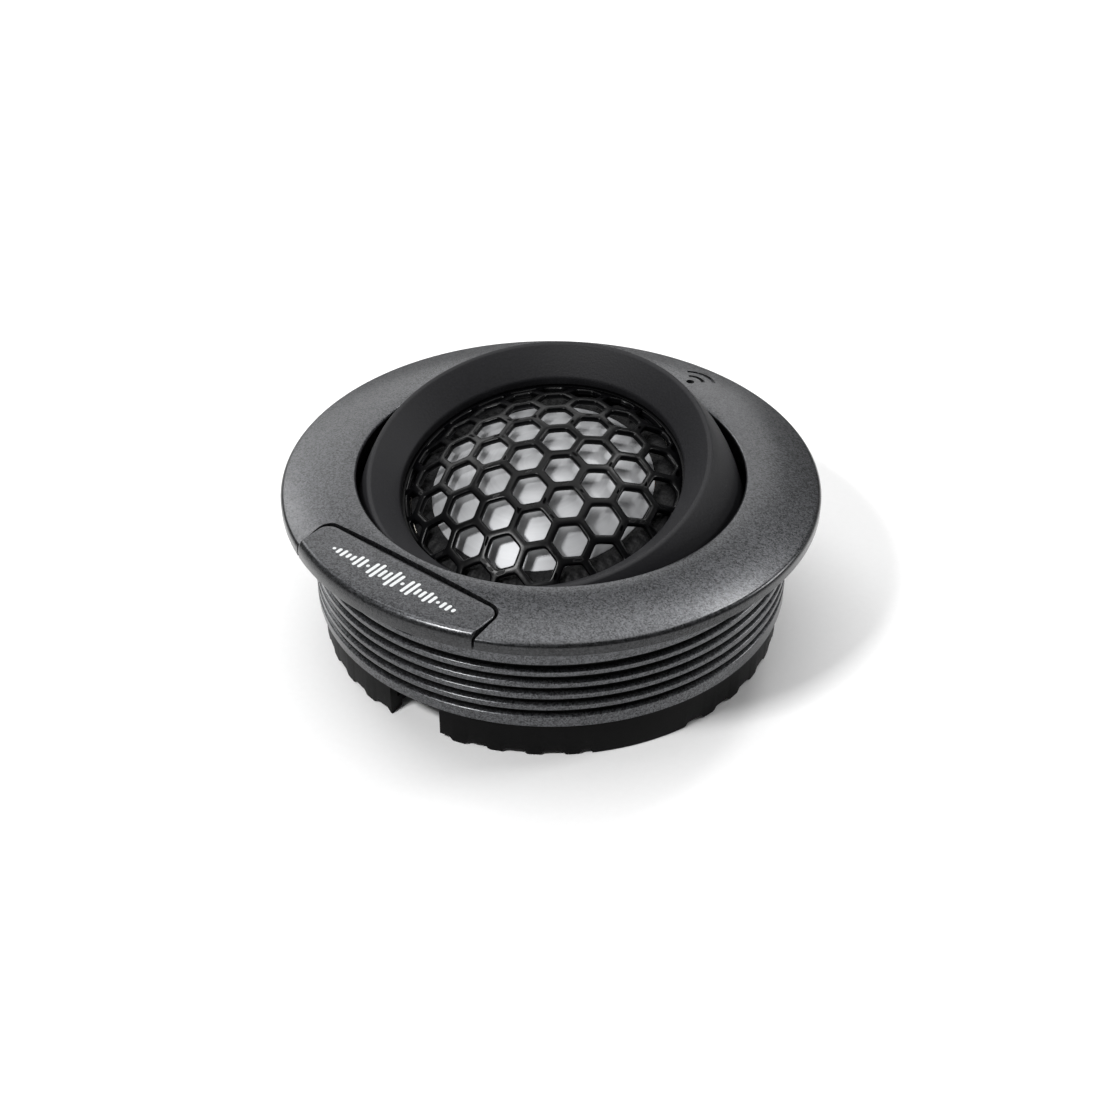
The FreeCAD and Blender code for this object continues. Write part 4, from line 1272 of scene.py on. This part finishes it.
@dataclass
class InnerWorks:
    """The pieces whose CAD shape stays: the turntable, hinge, rear shell, motor and wiring."""

    crease: float = 32.0

    def finishes(self) -> dict[str, Finish]:
        """What each carried-over node is made of.

        Returns:
            The finish for each node's name.
        """
        return {
            "carrier_washer": GRAPHITE_POLYMER, "pivot_carrier": MOULDED_NYLON,
            "pivot_bushes": MOULDED_ACETAL, "rear_cup": MOULDED_ABS, "rear_screws": BRIGHT_ZINC,
            "pivot_pins": GROUND_STAINLESS, "friction_washers": GRAPHITE_POLYMER,
            "grille_gasket": CUT_FOAM, "diaphragm_ring": MOULDED_POLYCARBONATE,
            "chassis_ring": MOULDED_POLYCARBONATE, "yoke": NICKEL_PLATED, "magnet": NICKEL_PLATED,
            "pole_plate": PHOSPHATED_STEEL, "pole_felt": PRESSED_FELT,
            "chamber_pad": POLYESTER_WADDING, "terminal_board": VARNISHED_GLASS_EPOXY,
            "solder_tags": TINNED_BRASS, "coil_leads": ENAMELLED_COPPER,
            "lead_grommet": MOULDED_NITRILE, "coil_former": POLYIMIDE_FILM,
            "coil_winding": ENAMELLED_COPPER,
        }

    def build(self) -> list[Piece]:
        """Dress each node, and join and smooth its loose triangles with live modifiers.

        Returns:
            The dressed nodes.
        """
        done = []
        for name, finish in self.finishes().items():
            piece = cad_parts[name]
            material = finish.make()
            if piece.material_slots:
                for slot in piece.material_slots:
                    slot.material = material
            else:
                piece.data.materials.append(material)
            weld = piece.modifiers.new("join_facets", "WELD")
            weld.merge_threshold = 2e-6
            crease = piece.modifiers.new("keep_creases", "EDGE_SPLIT")
            crease.split_angle = math.radians(self.crease)
            piece.data.polygons.foreach_set("use_smooth", np.ones(len(piece.data.polygons), dtype=bool))
            log.info("%s: %s", name, finish.name)
            done.append(piece)
        return done


# ------------------------------------------------------------------ studio


@dataclass
class Studio:
    """White paper sweep, soft lights and the camera."""

    eye: tuple[float, float, float] = (72.4, -120.5, 110.9)
    aim: tuple[float, float, float] = (-0.08, -0.05, 6.56)
    lens: float = 57.4

    def floor(self) -> Piece:
        """A wide paper sheet, level under the object and rising behind it as 0.9 s^2.

        Returns:
            The sheet.
        """
        across = np.linspace(-3000, 3000, 61)
        deep = np.linspace(-3000, 3000, 81)
        x, y = np.meshgrid(across, deep, indexing="ij")
        z = 0.0009 * np.maximum(y - 600, 0) ** 2
        sheet = Shell()
        sheet.grid(np.stack([x, y, z], axis=-1), wrap_rows=False, wrap_columns=False)
        paper = sheet.make("paper_floor")
        paper.data.materials.append(WHITE_PAPER.make())
        return paper

    def light(self, name: str, place: Sequence[float], size: Pair, power: float) -> None:
        """Hang a soft box that points at the object.

        Args:
            name: the light's name.
            place: its middle, in millimetres.
            size: its width and height, in millimetres.
            power: its power in watts.
        """
        lamp = bpy.data.lights.new(name, "AREA")
        lamp.shape, lamp.size, lamp.size_y, lamp.energy = "RECTANGLE", size[0] * MM, size[1] * MM, power
        box = bpy.data.objects.new(name, lamp)
        box.location = Vector(place) * MM
        box.rotation_euler = (Vector((0, 0, 10)) - Vector(place)).to_track_quat("-Z", "Y").to_euler()
        bpy.context.scene.collection.objects.link(box)

    def camera(self) -> None:
        """Set the camera at its place, looking at the object's middle."""
        lens = bpy.data.cameras.new("camera")
        lens.lens, lens.sensor_width = self.lens, 36.0
        lens.clip_start, lens.clip_end = 0.005, 20.0
        eye = bpy.data.objects.new("camera", lens)
        eye.location = Vector(self.eye) * MM
        eye.rotation_euler = (Vector(self.aim) - Vector(self.eye)).to_track_quat("-Z", "Y").to_euler()
        bpy.context.scene.collection.objects.link(eye)
        bpy.context.scene.camera = eye

    def build(self) -> None:
        """Lay the floor, hang the lights and place the camera."""
        self.floor()
        self.light("overhead_box", (-60, 80, 520), (520, 420), 1.5)
        self.light("back_box", (-252, 322, 230), (380, 200), 0.38)
        self.light("back_left_box", (-331, 104, 230), (160, 140), 0.3)
        self.light("crown_box", (40, 250, 365), (60, 40), 0.3)
        self.light("right_box", (231, 197, 190), (80, 80), 0.35)
        self.light("front_left_box", (-75, -245, 300), (70, 50), 1.1)
        self.camera()
        scene = bpy.context.scene
        scene.view_settings.view_transform = "Standard"
        world = bpy.data.worlds.new("studio")
        world.use_nodes = True
        world.node_tree.nodes["Background"].inputs["Color"].default_value = linear("#ffffff")
        world.node_tree.nodes["Background"].inputs["Strength"].default_value = 0.11
        scene.world = world


def main() -> None:
    """Build the studio and the object, and log how many pieces each kind makes."""
    logging.basicConfig(level=logging.INFO, format="%(name)s %(message)s")
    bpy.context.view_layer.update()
    Studio().build()
    for kind in (Housing, BadgePlate, BaseRing, SwivelBezel, Guard, DomeAndSurround, InnerWorks):
        log.info("%s: %d pieces", kind.__name__, len(kind().build()))


if __name__ == "__main__":
    main()
